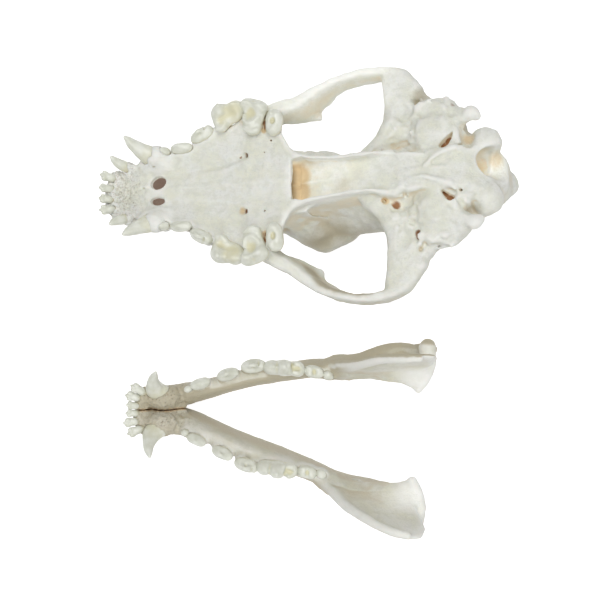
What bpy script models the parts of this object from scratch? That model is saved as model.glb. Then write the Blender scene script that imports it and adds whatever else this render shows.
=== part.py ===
# Dog skull: cranium lying on its roof with the palate up, the two halves of the
# lower jaw beside it, and every tooth in its socket.
# Bone is built as a distance field in millimetres, skinned and thinned to light facets.
# Skull axes: u runs back from the front of the palate, v sideways, w towards the palate side.

import math

import bmesh
import bpy
import numpy as np
import openvdb
from mathutils import Matrix

MM = 0.001
BONE_PITCH = 1.0
TOOTH_PITCH = 0.45
CRANIUM_FACES = 3450
JAW_FACES = 560
SOCKET_GAP = 0.4
WALL = 2.5
HALF_SEAM = 0.3
SKULL_PITCH = math.radians(18.0)
SKULL_ROLL = math.radians(7.2)
SKULL_YAW = math.radians(2.7)
JAW_YAW = math.radians(-4.0)
SKULL_AT = (-89.5, 50.3)
JAW_AT = (-74.8, -52.9)


# Curves and distance shapes

def curve(xs, ys):
    """Smooth curve through the given stations that never overshoots them."""
    xs = np.array(xs, float)
    ys = np.array(ys, float)
    gap = np.diff(xs)
    rise = np.diff(ys) / gap
    slope = np.zeros(len(xs))
    same = rise[:-1] * rise[1:] > 0
    total = np.where(same, rise[:-1] + rise[1:], 1.0)
    slope[1:-1] = np.where(same, 2 * rise[:-1] * rise[1:] / total, 0.0)
    slope[0] = rise[0]
    slope[-1] = rise[-1]

    def at(x):
        x = np.clip(x, xs[0], xs[-1])
        i = np.clip(np.searchsorted(xs, x, side="right") - 1, 0, len(gap) - 1)
        t = (x - xs[i]) / gap[i]
        flat = (1 + 2 * t) * (1 - t) ** 2 * ys[i] + t * t * (3 - 2 * t) * ys[i + 1]
        return flat + gap[i] * (t * (1 - t) ** 2 * slope[i] - t * t * (1 - t) * slope[i + 1])

    return at


def low_blend(a, b, k):
    if k <= 0:
        return np.minimum(a, b)
    h = np.maximum(k - np.abs(a - b), 0.0) / k
    return np.minimum(a, b) - h * h * k * 0.25


def high_blend(a, b, k):
    return -low_blend(-a, -b, k)


def turned(angles):
    rx, ry, rz = [math.radians(a) for a in angles]
    return np.array(Matrix.Rotation(rz, 3, "Z") @ Matrix.Rotation(ry, 3, "Y") @ Matrix.Rotation(rx, 3, "X"))


def ball(centre, radii, angles=(0, 0, 0)):
    """Ellipsoid with its own turn, as (low corner, high corner, distance)."""
    centre = np.array(centre, float)
    r = np.array(radii, float)
    axes = turned(angles)
    reach = np.sqrt(((axes * r) ** 2).sum(axis=1))

    def distance(u, v, w):
        p = (u - centre[0], v - centre[1], w - centre[2])
        q = [axes[0, i] * p[0] + axes[1, i] * p[1] + axes[2, i] * p[2] for i in range(3)]
        k0 = np.sqrt(sum((q[i] / r[i]) ** 2 for i in range(3)))
        k1 = np.sqrt(sum((q[i] / r[i] ** 2) ** 2 for i in range(3)))
        return k0 * (k0 - 1) / np.maximum(k1, 1e-6)

    return centre - reach, centre + reach, distance


def smooth_path(points, count):
    """Catmull-Rom samples; every row may carry radii after its three coordinates."""
    p = np.array(points, float)
    if len(p) == 2:
        t = np.linspace(0, 1, max(count, 2))[:, None]
        return p[0] * (1 - t) + p[1] * t
    ends = np.vstack([2 * p[0] - p[1], p, 2 * p[-1] - p[-2]])
    rows = []
    for i in range(1, len(p)):
        a, b, c, d = ends[i - 1], ends[i], ends[i + 1], ends[i + 2]
        for t in np.linspace(0, 1, count, endpoint=False):
            rows.append(0.5 * (2 * b + (c - a) * t + (2 * a - 5 * b + 4 * c - d) * t * t
                               + (3 * b - a - 3 * c + d) * t ** 3))
    rows.append(p[-1])
    return np.array(rows)


def limb(points, count=4):
    """Round tapering limb; each point is (u, v, w, radius)."""
    path = smooth_path(points, count)
    r = np.maximum(path[:, 3:4], 0.05)
    low = (path[:, :3] - r).min(axis=0)
    high = (path[:, :3] + r).max(axis=0)

    def distance(u, v, w):
        best = None
        for a, b in zip(path[:-1], path[1:]):
            e = b[:3] - a[:3]
            length = max(float(e @ e), 1e-9)
            t = ((u - a[0]) * e[0] + (v - a[1]) * e[1] + (w - a[2]) * e[2]) / length
            t = np.clip(t, 0.0, 1.0)
            gap = np.sqrt((u - a[0] - e[0] * t) ** 2 + (v - a[1] - e[1] * t) ** 2
                          + (w - a[2] - e[2] * t) ** 2) - (a[3] + (b[3] - a[3]) * t)
            best = gap if best is None else np.minimum(best, gap)
        return best

    return low, high, distance


def band(points, side, power=2.0, count=4):
    """Flattened limb; each point is (u, v, w, half across, half along side, turn in degrees)."""
    path = smooth_path(points, count)
    side = np.array(side, float)
    reach = np.maximum(path[:, 3], path[:, 4])[:, None]
    low = (path[:, :3] - reach).min(axis=0)
    high = (path[:, :3] + reach).max(axis=0)
    tangent = np.gradient(path[:, :3], axis=0)
    tangent /= np.linalg.norm(tangent, axis=1)[:, None]
    tall = side - tangent * (tangent @ side)[:, None]
    tall /= np.linalg.norm(tall, axis=1)[:, None]
    wide = np.cross(tall, tangent)
    turn = np.radians(path[:, 5])[:, None]
    axis_a = wide * np.cos(turn) + tall * np.sin(turn)
    axis_b = tall * np.cos(turn) - wide * np.sin(turn)

    def distance(u, v, w):
        shape = np.broadcast(u, v, w).shape
        nearest = np.full(shape, 1e9)
        place = np.zeros(shape)
        for i in range(len(path) - 1):
            a = path[i, :3]
            e = path[i + 1, :3] - a
            t = ((u - a[0]) * e[0] + (v - a[1]) * e[1] + (w - a[2]) * e[2]) / max(float(e @ e), 1e-9)
            t = np.clip(t, 0.0, 1.0)
            gap = (u - a[0] - e[0] * t) ** 2 + (v - a[1] - e[1] * t) ** 2 + (w - a[2] - e[2] * t) ** 2
            closer = gap < nearest
            nearest = np.where(closer, gap, nearest)
            place = np.where(closer, i + t, place)
        i = np.minimum(place.astype(int), len(path) - 2)
        t = place - i

        def mix(column):
            return column[i] * (1 - t) + column[i + 1] * t

        du = u - mix(path[:, 0])
        dv = v - mix(path[:, 1])
        dw = w - mix(path[:, 2])
        a = du * mix(axis_a[:, 0]) + dv * mix(axis_a[:, 1]) + dw * mix(axis_a[:, 2])
        b = du * mix(axis_b[:, 0]) + dv * mix(axis_b[:, 1]) + dw * mix(axis_b[:, 2])
        c = np.sqrt(np.maximum(du * du + dv * dv + dw * dw - a * a - b * b, 0.0))
        ra = mix(path[:, 3])
        rb = mix(path[:, 4])
        cap = np.minimum(ra, rb)
        qa, qb, qc = np.abs(a) / ra, np.abs(b) / rb, c / cap
        k = (qa ** power + qb ** power + qc ** power) ** (1 / power) + 1e-6
        g = np.sqrt((qa ** (power - 1) / ra) ** 2 + (qb ** (power - 1) / rb) ** 2
                    + (qc ** (power - 1) / cap) ** 2) * k ** (1 - power)
        return (k - 1) / np.maximum(g, 1e-3)

    return low, high, distance


def form(low, high, rule):
    """Free shape from an implicit rule, turned into a distance by its own slope."""
    def distance(u, v, w):
        f = rule(u, v, w) + 0 * (u + v + w)
        step = [float(np.ravel(axis)[1] - np.ravel(axis)[0]) for axis in (u, v, w)]
        grads = np.gradient(f, *step)
        return f / np.maximum(np.sqrt(sum(g * g for g in grads)), 0.02)

    return np.array(low, float), np.array(high, float), distance


def outline(points, u, w):
    """Signed distance to a closed outline in the u-w plane."""
    p = np.array(points, float)
    best = np.full(np.broadcast(u, w).shape, 1e9)
    inside = np.zeros(best.shape, bool)
    for a, b in zip(p, np.roll(p, -1, axis=0)):
        e = b - a
        t = np.clip(((u - a[0]) * e[0] + (w - a[1]) * e[1]) / (e @ e), 0, 1)
        best = np.minimum(best, np.hypot(u - a[0] - e[0] * t, w - a[1] - e[1] * t))
        crosses = (a[1] > w) != (b[1] > w)
        where = a[0] + (w - a[1]) * e[0] / (e[1] if e[1] else 1e-9)
        inside ^= crosses & (u < where)
    return np.where(inside, -best, best)


class Block:
    """A box of samples that shapes are joined to and carved from."""

    def __init__(self, low, high, pitch):
        self.low = np.array(low, float)
        self.pitch = pitch
        self.count = np.ceil((np.array(high) - self.low) / pitch).astype(int) + 1
        self.field = np.full(self.count, 9.0, np.float32)

    def window(self, low, high, margin):
        a = np.floor((low - margin - self.low) / self.pitch).astype(int)
        b = np.ceil((high + margin - self.low) / self.pitch).astype(int) + 1
        a = np.clip(a, 0, self.count - 2)
        b = np.clip(b, a + 2, self.count)
        where = tuple(slice(i, j) for i, j in zip(a, b))
        axes = [self.low[i] + self.pitch * np.arange(a[i], b[i]) for i in range(3)]
        return where, axes[0][:, None, None], axes[1][None, :, None], axes[2][None, None, :]

    def join(self, shape, blend=0.0):
        where, u, v, w = self.window(shape[0], shape[1], blend + 3 * self.pitch)
        self.field[where] = low_blend(self.field[where], shape[2](u, v, w), blend)

    def carve(self, shape, blend=0.0):
        where, u, v, w = self.window(shape[0], shape[1], blend + 3 * self.pitch)
        self.field[where] = high_blend(self.field[where], -shape[2](u, v, w), blend)

    def trim_side(self, least):
        """Flat face at v = least, with nothing left beyond it."""
        v = self.low[1] + self.pitch * np.arange(self.count[1])
        self.field = np.maximum(self.field, (least - v)[None, :, None]).astype(np.float32)

    def skin(self, mirror=False):
        """Vertices in millimetres and triangles of the surface."""
        field = self.field
        low = self.low.copy()
        if mirror:
            field = np.concatenate([field[:, :0:-1, :], field], axis=1)
            low[1] = -self.pitch * (self.count[1] - 1)
        limit = 3 * self.pitch
        field = np.pad(np.clip(field, -limit, limit), 1, constant_values=limit)
        grid = openvdb.FloatGrid(limit)
        grid.copyFromArray(np.ascontiguousarray(field, np.float32))
        grid.transform = openvdb.createLinearTransform(voxelSize=self.pitch)
        points, tris, quads = grid.convertToPolygons(isovalue=0.0, adaptivity=0.0)
        faces = [tuple(int(i) for i in f) for f in quads] + [tuple(int(i) for i in f) for f in tris]
        return np.array(points, float) + low - self.pitch, faces


# Cranium

MUZZLE_WIDTH = curve([-2, 3, 7, 11, 15, 20, 26, 33, 41, 47, 53, 58, 63, 69, 75, 81, 87, 92],
                     [9, 11.6, 12.6, 12.3, 13.7, 15.6, 16.0, 16.2, 17.2, 20.5, 25, 29, 31.6, 33,
                      33.2, 31.4, 27, 21])
MUZZLE_TOP = curve([-2, 0, 4, 9, 13, 20, 30, 45, 56, 70, 78, 84, 92, 100],
                   [0, -4, -11, -18, -23, -25, -27, -30, -32, -36, -39, -42.5, -47.5, -52])
BRIDGE_WIDTH = curve([-2, 6, 13, 22, 40, 56, 70, 80, 90], [6, 7, 7.5, 9, 10, 12, 14.5, 17, 19])
CASE_WIDTH = curve([80, 90, 100, 110, 120, 130, 140, 150, 160, 170, 178, 184],
                   [17, 19.5, 20.5, 20.5, 20.5, 23, 26.5, 27.5, 25.5, 20, 13, 8])
CASE_TOP = curve([80, 90, 100, 110, 120, 135, 150, 160, 170, 178, 184],
                 [-40, -46.5, -52, -54, -53.5, -53.5, -54, -54, -52.5, -49, -45])
CASE_FLOOR = curve([80, 90, 100, 110, 120, 130, 140, 150, 160, 170, 178, 184],
                   [-18, -18, -17, -16, -14, -12, -9.5, -8.5, -8.5, -9, -14, -22])
KEEL_WIDTH = curve([82, 88, 92, 96, 102, 110, 120, 130, 136, 141],
                   [20, 16, 13.2, 11.6, 10.3, 9.4, 8.9, 8.8, 9.4, 10.2])
KEEL_EDGE = curve([82, 90, 100, 110, 120, 130, 136, 139, 142],
                  [-3, -3, -3.4, -4.4, -5.4, -5.8, -4.6, -4, -8])


def muzzle(u, v, w):
    top = MUZZLE_TOP(u) + 0.022 * v * v
    floor = -2.3 + 2.6 * np.clip(v / MUZZLE_WIDTH(u), 0, 1.2) ** 3
    s = np.clip((floor - w) / np.maximum(floor - top, 1.0), 0, 1)
    bend = np.interp(u, [20, 45, 62], [1.1, 1.5, 2.4])
    half = BRIDGE_WIDTH(u) + (MUZZLE_WIDTH(u) - BRIDGE_WIDTH(u)) * (1 - s) ** bend
    body = high_blend(v - half, top - w, 9.0)
    body = high_blend(body, w - floor, 2.2)
    body = high_blend(body, 0.058 * v * v - 1.8 - u, 4.0)
    back = u - np.where(v > 12, 88.0, 96.0)
    return high_blend(body, back, 5.0)


def braincase(inset):
    def rule(u, v, w):
        top = CASE_TOP(u) + inset
        floor = CASE_FLOOR(u) - inset
        mid = (top + floor) / 2
        s = np.clip((w - top) / (floor - top), 0, 1)
        pinch = np.interp(u, [100, 135], [0.42, 0.0])
        half = (CASE_WIDTH(u) - inset) * (1 - pinch * s ** 1.6)
        k = (np.abs(v / half) ** 2.3 + np.abs((w - mid) / ((floor - top) / 2)) ** 2.3) ** (1 / 2.3)
        ends = high_blend((84 + inset - u) / 12, (u - 183 + inset) / 12, 0.1)
        return high_blend(k - 1, ends, 0.35)
    return rule


def keel(u, v, w):
    half = KEEL_WIDTH(u) + 0.16 * np.clip(-5 - w, 0, 25)
    body = high_blend(v - half, w - KEEL_EDGE(u), 2.0)
    body = high_blend(body, np.maximum(80 - u, u - 141.5), 3.0)
    return high_blend(body, -34 - w, 2.0)


def channel(wall):
    def rule(u, v, w):
        half = KEEL_WIDTH(u) - wall + 0.05 * np.clip(-5 - w, 0, 12)
        half = np.minimum(half, np.interp(u, [60, 84, 92, 100], [7, 8, 8.6, 8.4]))
        roof = np.interp(u, [70, 94, 104, 116, 126, 136], [-17, -17, -14, -11, -8.6, -6.6])
        roof = roof - 0.02 * v * v + 1.2 * np.exp(-(v / 1.6) ** 2)
        body = high_blend(v - half, roof - w, 2.5)
        body = high_blend(body, np.where(u < 89.2, w + 5.6, w - 12), 1.0)
        return high_blend(body, np.maximum(66 - u, u - 144), 2.0)
    return rule


def nasal_cavity(wall):
    def rule(u, v, w):
        top = MUZZLE_TOP(np.maximum(u, 12)) + wall + 1.2
        half = np.interp(u, [0, 10, 30, 45, 60, 75], [7.4, 7.6, 8.2, 9.5, 11.5, 12])
        half = half * np.interp(w - top, [0, 14], [0.72, 1.0])
        body = high_blend(v - half, top + 0.03 * v * v - w, 4.0)
        body = high_blend(body, w + 5.6, 3.0)
        return high_blend(body, u - 84, 6.0)
    return rule


def crest(u, v, w):
    top = np.interp(u, [108, 118, 130, 148, 166, 178, 184, 187], [-54, -56.5, -58.5, -60, -60, -58, -55, -50])
    thick = 1.25 + 0.10 * np.clip(w - top, 0, 14)
    body = high_blend(v - thick, top - w, 1.6)
    back = u - np.interp(w, [-58, -50, -44, -34], [182, 186.5, 183, 174])
    return high_blend(high_blend(body, back, 2.0), np.maximum(106 - u, w + 34), 2.0)


def base_plate(u, v, w):
    half = np.interp(u, [100, 130, 142, 150, 160, 168, 174], [6, 7.5, 7.8, 8.4, 9.6, 11, 12])
    floor = np.interp(u, [100, 112, 122, 134, 145, 165, 174], [-14.5, -12, -9.6, -7.2, -6.2, -6.6, -9])
    floor = floor + 0.012 * v * v
    body = high_blend(v - half, w - floor, 3.0)
    end = u - 168 - 0.06 * v * v
    return high_blend(body, np.maximum(np.maximum(98 - u, end), -20 - w), 3.0)


def cranium_field(pitch, wall):
    b = Block((-7, 0, -66), (193, 60, 13), pitch)
    b.join(form((-4, 0, -56), (98, 36, 3), muzzle))
    b.join(form((80, 0, -58), (188, 30, -4), braincase(0)), 5.0)
    b.join(form((80, 0, -38), (143, 22, -1), keel), 3.0)
    b.join(form((96, 0, -24), (177, 14, -3), base_plate), 3.0)
    b.join(form((104, 0, -63), (190, 4, -32), crest), 4.0)
    # roof of the orbit, its front rim and the cheek
    b.join(limb([(98, 15, -47, 6), (93, 20, -45.5, 4.6), (90, 23.6, -43.5, 2.4)]), 5.0)
    b.join(limb([(92, 22, -47, 1.6), (101, 15, -53, 1.7), (112, 6, -56, 1.7), (122, 1, -57.5, 1.6)]), 3.0)
    b.join(limb([(74, 30, -10, 5), (76, 28, -22, 4), (81, 23.5, -34, 4), (89, 19.5, -42, 4)]), 6.0)
    b.join(limb([(19, 13.2, -2, 4.2), (25, 11.6, -13, 4.4), (33, 9.8, -20, 3.4)]), 4.0)
    # cheek arch
    b.join(band([(70, 29, -9, 4.6, 8, 0), (79, 35.4, -9.5, 4.2, 8.2, 0), (87, 40, -11, 4.0, 8.4, 0),
                 (95, 44.2, -13, 3.2, 8.0, 0), (104, 48, -15, 2.6, 6.8, 0), (114, 51, -15.5, 2.6, 6.2, 0),
                 (124, 51.8, -15, 2.9, 6.0, 0), (132, 50, -14.5, 3.1, 5.6, 0), (138, 45.6, -14, 3.2, 5, 0),
                 (143, 39.5, -14.5, 3.2, 4.4, 0)], (0, 0, 1), 2.4), 4.0)
    b.join(limb([(91, 41, -18, 3.4), (93.6, 38.8, -25, 2.8), (95, 37.4, -29, 1.7)]), 4.0)
    # jaw joint and the bone behind it
    b.join(band([(138, 20, -15, 5, 8, 0), (138, 30, -14, 4.6, 7.6, 0), (136.6, 39, -14, 4.2, 6.6, 0),
                 (134.5, 46, -14.5, 3.6, 5.4, 0)], (1, 0, 0), 2.6), 4.0)
    b.join(ball((143.6, 27.5, -8), (2.5, 6.8, 5.8), (0, 0, 6)), 2.5)
    b.join(ball((156, 25, -17), (11.5, 8.5, 9)), 4.0)
    b.join(limb([(149, 32, -16, 2.6), (155, 31.4, -15, 2.4), (161, 30.5, -14, 2.4)]), 3.0)
    b.join(limb([(183, 1.5, -49, 2.8), (176.5, 5.6, -45, 2.4), (170.5, 12, -37, 2.4), (165.5, 20, -27, 2.4),
                 (161, 28, -16, 2.4)]), 5.0)
    # ear capsule
    b.join(ball((152.5, 16.4, -5.4), (12.6, 9.6, 7.4), (0, 0, 16)), 2.2)
    # back of the head
    b.join(ball((167, 0, -30), (12.5, 15, 19)), 5.0)
    b.join(limb([(169.5, 4.4, -12, 3.2), (172, 9, -12, 5.4), (174, 12.6, -14.5, 6), (173.5, 11.6, -22, 4.6)]), 2.5)
    b.join(band([(163, 21, -16, 3, 6, 0), (168, 23.6, -8, 2.8, 4.4, 0), (171.4, 24.2, -1, 2.4, 3, 0),
                 (172.2, 24.2, 2.2, 2, 2.3, 0)], (0, 1, 0)), 3.0)
    # hollows
    b.carve(ball((99, 38, -25), (17, 16.5, 13.5)), 3.0)
    b.carve(ball((113, 31, -24), (17, 13.5, 30)), 2.0)
    b.carve(form((108, 0, -52), (184, 26, -12), braincase(wall + 2.6)), 1.5)
    b.carve(limb([(150, 0, -26, 7.5), (166, 0, -22, 8.2), (184, 0, -16, 9.6)]), 1.5)
    b.carve(form((-8, 0, -50), (88, 14, -4), nasal_cavity(wall)), 1.5)
    b.carve(form((64, 0, -20), (143, 10, 8), channel(wall)), 0.8)
    b.carve(ball((137, 33, -4.8), (5.4, 12.5, 5), (0, 0, 6)), 1.5)
    b.carve(limb([(151, 25, -9, 2.4), (150.5, 34, -10, 2.8)]), 0.8)
    b.carve(limb([(62, 18, -17, 2.2), (54, 27, -14, 2.6)]), 1.0)
    b.carve(ball((24.4, 4.2, -2), (5, 2.2, 7), (0, 0, 8)), 0.6)
    b.carve(limb([(159, 12.6, -5, 1.6), (155, 9, -9, 1.4)]), 0.8)
    return b


def lean_aside(points):
    """The cheek arches of this animal sit a little towards its right."""
    p = points.copy()
    side = np.clip((np.abs(p[:, 1]) - 22) / 20, 0, 1)
    along = np.clip((p[:, 0] - 80) / 14, 0, 1) * np.clip((150 - p[:, 0]) / 12, 0, 1)
    p[:, 1] -= 2.2 * side * side * (3 - 2 * side) * along
    return p


# Lower jaw

def ramus(u, v, w):
    edge = [(85, 16), (90, 26), (96, 37), (103, 49), (110, 58), (118, 63.5), (126, 64.5), (131.5, 61.5),
            (131, 55), (127, 48), (124.5, 41), (126, 35), (131, 31), (134, 24), (131, 13), (112, 8), (92, 9)]
    flat = outline(edge, u, w)
    middle = 28 + 0.03 * (u - 100) + 0.22 * (w - 16)
    half = np.interp(w, [10, 25, 45, 64], [3.4, 2.6, 2.0, 1.6])
    return high_blend(np.abs(v - middle) - half, flat, 2.5)


def jaw_field(pitch):
    b = Block((-7, -2, -2), (143, 52, 68), pitch)
    b.join(band([(-1, 4.2, 16, 4.4, 6.5, -12), (7, 5.4, 13.8, 5.4, 9, -18), (17, 6.8, 12.4, 6, 11, -20),
                 (29, 10.3, 12.3, 5.4, 11.8, -20), (40, 14.2, 12.3, 5.1, 12, -24),
                 (52, 17.6, 12.2, 5.1, 12.1, -24), (66, 20.6, 12.4, 5.3, 12.4, -17),
                 (80, 24, 13, 5.2, 12.8, -5), (92, 26.8, 14.2, 4.8, 12.8, -3), (104, 30, 15, 4.0, 11.6, -2),
                 (116, 32.2, 14.5, 3.6, 9, 0), (127, 35.6, 11.8, 3.2, 5.4, 0),
                 (136, 38, 9.4, 2.2, 2.8, 0)], (0, 0, 1), 2.5))
    b.join(form((84, 24, 4), (137, 42, 67), ramus), 3.0)
    b.join(limb([(88, 29.5, 20, 2.9), (93, 31, 31, 2.9), (101, 34, 44, 2.4), (110, 37, 56, 1.9),
                 (118, 38.4, 62, 1.6)]), 2.0)
    b.join(limb([(93, 32, 18, 2.6), (106, 36.5, 13.5, 3), (118, 40, 11.5, 2.7), (127, 41, 10.5, 2.2)]), 4.0)
    b.join(limb([(120, 30, 22, 4), (128, 32, 28, 4.4)]), 3.0)
    b.join(limb([(119, 29, 23, 2), (126, 26.4, 27.5, 2.4), (130, 22.4, 29.5, 2.3)]), 3.0)
    b.join(band([(130.2, 20.6, 29.6, 2.3, 2.6, 0), (132, 26, 30.4, 3.4, 3.6, 0), (134, 35, 31, 3.5, 3.8, 0),
                 (134.6, 42, 30, 2.9, 3.2, 0)], (0, 0, 1)), 2.0)
    b.join(limb([(124, 38, 9, 3.4), (132, 39.4, 7.4, 2.9), (138, 39, 9.4, 1.7)]), 3.0)
    b.carve(ball((112, 42, 29), (16, 6.6, 13), (0, 0, 6)), 3.0)
    b.carve(limb([(100, 22, 19, 2), (108, 25.5, 22, 1.6)]), 1.5)
    b.trim_side(HALF_SEAM)
    return b


def sway(points):
    """The front of this jaw stands a little towards the animal's right."""
    p = points.copy()
    p[:, 1] += np.interp(p[:, 0], [0, 16, 50, 78], [0, 2.0, 2.0, 0])
    return p


# Teeth
# Own axes of a tooth: x back along the row, y outwards, z from neck to tip.

def cone(x, y, height, long, wide, drift=(0, 0), start=-0.6):
    """Pointed cusp with an oval foot."""
    return band([(x, y, start, wide, long, 0),
                 (x + drift[0] * 0.35, y + drift[1] * 0.35, start + (height - start) * 0.5, wide * 0.66,
                  long * 0.62, 0),
                 (x + drift[0], y + drift[1], height - 0.45, 0.42, 0.45, 0)], (1, 0, 0), 2.0)


def root(x, y, long, wide, depth, lean=(0, 0)):
    return band([(x, y, 0.4, wide, long, 0), (x + lean[0] * 0.5, y + lean[1] * 0.5, -depth * 0.5,
                                             wide * 0.86, long * 0.86, 0),
                 (x + lean[0], y + lean[1], -depth + 0.8, wide * 0.5, long * 0.5, 0)], (1, 0, 0), 2.2)


def tooth_shapes(kind):
    """List of (shape, blend) for one tooth."""
    if kind == "upper_canine":
        return [(band([(2.6, -1.0, -7.5, 2.6, 3.2, 0), (1.2, -0.4, -2, 3.5, 4.9, 0), (0, 0.2, 3, 3.3, 4.2, 0),
                       (-1.2, 0.4, 8.5, 2.5, 2.9, 0), (-1.2, 0.4, 13.5, 1.5, 1.7, 0), (0, 0, 17.5, 0.5, 0.55, 0)],
                      (1, 0, 0)), 0)]
    if kind == "lower_canine":
        return [(band([(3.6, -0.6, -7, 2.5, 3.2, 0), (1.4, -0.2, -2, 3.5, 4.7, 0), (-0.6, 0.2, 3.5, 3.3, 4.2, 0),
                       (-1.6, 0.3, 9, 2.4, 3.0, 0), (-0.4, 0, 14, 1.4, 1.6, 0), (1.8, -0.4, 17.5, 0.5, 0.5, 0)],
                      (1, 0, 0)), 0)]
    if kind in ("upper_i3", "lower_i3"):
        k = 1.0 if kind == "upper_i3" else 0.74
        return [(band([(1.2 * k, 0, -5.5, 1.6 * k, 1.9 * k, 0), (0.4, 0, -1, 2.3 * k, 2.7 * k, 0),
                       (-0.3, 0, 3 * k, 2.2 * k, 2.6 * k, 0), (-0.3, 0, 6.4 * k, 1.5 * k, 1.7 * k, 0),
                       (0.6 * k, 0, 9.2 * k, 0.6, 0.6, 0)], (1, 0, 0)), 0)]
    if kind in ("upper_i1", "upper_i2", "lower_i1", "lower_i2"):
        big = {"upper_i1": 0.9, "upper_i2": 0.98, "lower_i1": 0.68, "lower_i2": 0.8}[kind]
        return [(band([(0.6, 0, -5, 1.2 * big, 1.5 * big, 0), (0.2, 0, -0.5, 1.8 * big, 2.1 * big, 0),
                       (-0.1, 0, 2.4 * big, 2.2 * big, 1.9 * big, 0), (0, 0, 4.6 * big, 2.0 * big, 1.4 * big, 0),
                       (0.1, 0, 6.0 * big, 1.1 * big, 0.8 * big, 0)], (1, 0, 0), 2.4), 0),
                (ball((0, 1.5 * big, 4.4 * big), (1.1 * big, 0.9 * big, 1.2 * big)), 0.5),
                (ball((0, -1.5 * big, 4.4 * big), (1.1 * big, 0.9 * big, 1.2 * big)), 0.5)]
    if kind in ("upper_p1", "lower_p1"):
        k = 1.0 if kind == "upper_p1" else 0.68
        return [(cone(-0.4, 0, 4.4 * k, 2.6 * k, 1.7 * k, (0.3, 0)), 0),
                (ball((0.2, 0, 0.7), (2.9 * k, 1.75 * k, 1.3)), 0.6), (root(0, 0, 1.8 * k, 1.3 * k, 5), 0.5)]
    if kind in ("upper_p2", "upper_p3", "lower_p2", "lower_p3", "lower_p4"):
        long, wide, tall = {"upper_p2": (5.0, 2.4, 5.2), "upper_p3": (5.4, 2.7, 5.8), "lower_p2": (4.6, 2.3, 4.8),
                            "lower_p3": (4.7, 2.5, 5.6), "lower_p4": (5.3, 2.8, 6.6)}[kind]
        shapes = [(cone(-0.6, 0, tall, long * 0.62, wide * 0.95, (0.2, 0)), 0),
                  (ball((0, 0, 0.7), (long, wide, 1.7)), 1.2),
                  (root(-long * 0.5, 0, 1.8, wide * 0.72, 5.5), 0.8), (root(long * 0.5, 0, 1.9, wide * 0.72, 5.5), 0.8)]
        if kind != "upper_p2" and kind != "lower_p2":
            shapes.append((cone(long * 0.55, 0, tall * 0.52, 1.5, wide * 0.6), 0.7))
            shapes.append((cone(long * 0.86, 0, tall * 0.32, 0.9, wide * 0.5), 0.5))
        return shapes
    if kind == "upper_p4":
        return [(cone(-1.6, 0.4, 8.4, 4.4, 3.6, (0.9, 0.4)), 0), (cone(4.4, 0.2, 6.2, 3.0, 2.9, (0.3, 0)), 1.2),
                (ball((0.2, 0, 1.0), (7.3, 3.9, 2.4)), 1.4), (cone(-5.2, -4.2, 3.0, 2.1, 1.9), 1.2),
                (ball((5.6, 0.2, 3.2), (1.8, 1.6, 1.9)), 1.0),
                (root(-4.6, 0.2, 2.2, 2.0, 6), 0.8), (root(4.4, -0.2, 2.4, 2.0, 6), 0.8)]
    if kind == "upper_m1":
        return [(ball((0.2, 3.8, 0.8), (6.1, 4.3, 2.6)), 0), (ball((0.9, -2.6, 0.2), (4.6, 4.8, 2.2)), 2.0),
                (cone(-2.9, 3.9, 5.2, 2.8, 2.7), 0.8), (cone(2.7, 3.7, 4.6, 2.6, 2.5), 0.8),
                (cone(-0.2, -2.6, 3.4, 2.0, 2.0), 0.9), (ball((1.6, -5.0, 1.2), (3.2, 1.7, 1.3), (0, 0, -14)), 0.8),
                (root(-2.8, 3.0, 2.1, 2.1, 6), 0.8), (root(2.8, 3.0, 2.1, 2.1, 6), 0.8),
                (root(0.8, -3.6, 2.2, 2.2, 6), 0.8)]
    if kind == "upper_m2":
        return [(ball((0, 2.6, 0.6), (3.4, 3.2, 1.8)), 0), (ball((0.4, -2.2, 0.2), (2.8, 3.8, 1.5)), 1.6),
                (cone(-1.4, 2.7, 3.2, 1.6, 1.5), 0.6), (cone(1.4, 2.5, 2.8, 1.5, 1.4), 0.6),
                (cone(0, -2.0, 2.2, 1.3, 1.3), 0.6), (root(0, 2.2, 2.4, 2.0, 5), 0.8), (root(0.4, -2.6, 1.8, 1.7, 5), 0.8)]
    if kind == "lower_m1":
        return [(ball((0, 0, 1.4), (9.2, 3.8, 2.9)), 0), (cone(-5.6, 0.1, 6.8, 3.6, 2.9, (0.8, 0)), 1.2),
                (cone(-0.4, 0.2, 9.0, 4.4, 3.3, (0.2, 0)), 1.2), (cone(1.0, -2.0, 5.6, 1.4, 1.3), 0.6),
                (cone(5.2, 1.6, 4.6, 2.3, 1.6), 0.8), (cone(5.4, -1.7, 4.2, 2.0, 1.4), 0.8),
                (root(-5.0, 0, 3.1, 2.2, 7), 0.8), (root(4.6, 0, 3.0, 2.2, 7), 0.8)]
    if kind == "lower_m2":
        return [(ball((0, 0, 0.9), (4.3, 2.9, 2.1)), 0), (cone(-1.9, 1.2, 4.0, 1.7, 1.4), 0.7),
                (cone(-1.9, -1.2, 3.7, 1.5, 1.3), 0.7), (cone(1.8, 1.1, 3.2, 1.5, 1.3), 0.7),
                (root(-1.9, 0, 1.9, 1.8, 5.5), 0.7), (root(1.9, 0, 1.9, 1.8, 5.5), 0.7)]
    return [(ball((0, 0, 0.8), (2.3, 2.2, 1.5)), 0), (cone(-0.5, 0.4, 2.7, 1.3, 1.2), 0.6),
            (root(0, 0, 1.5, 1.5, 4.5), 0.6)]


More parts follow.
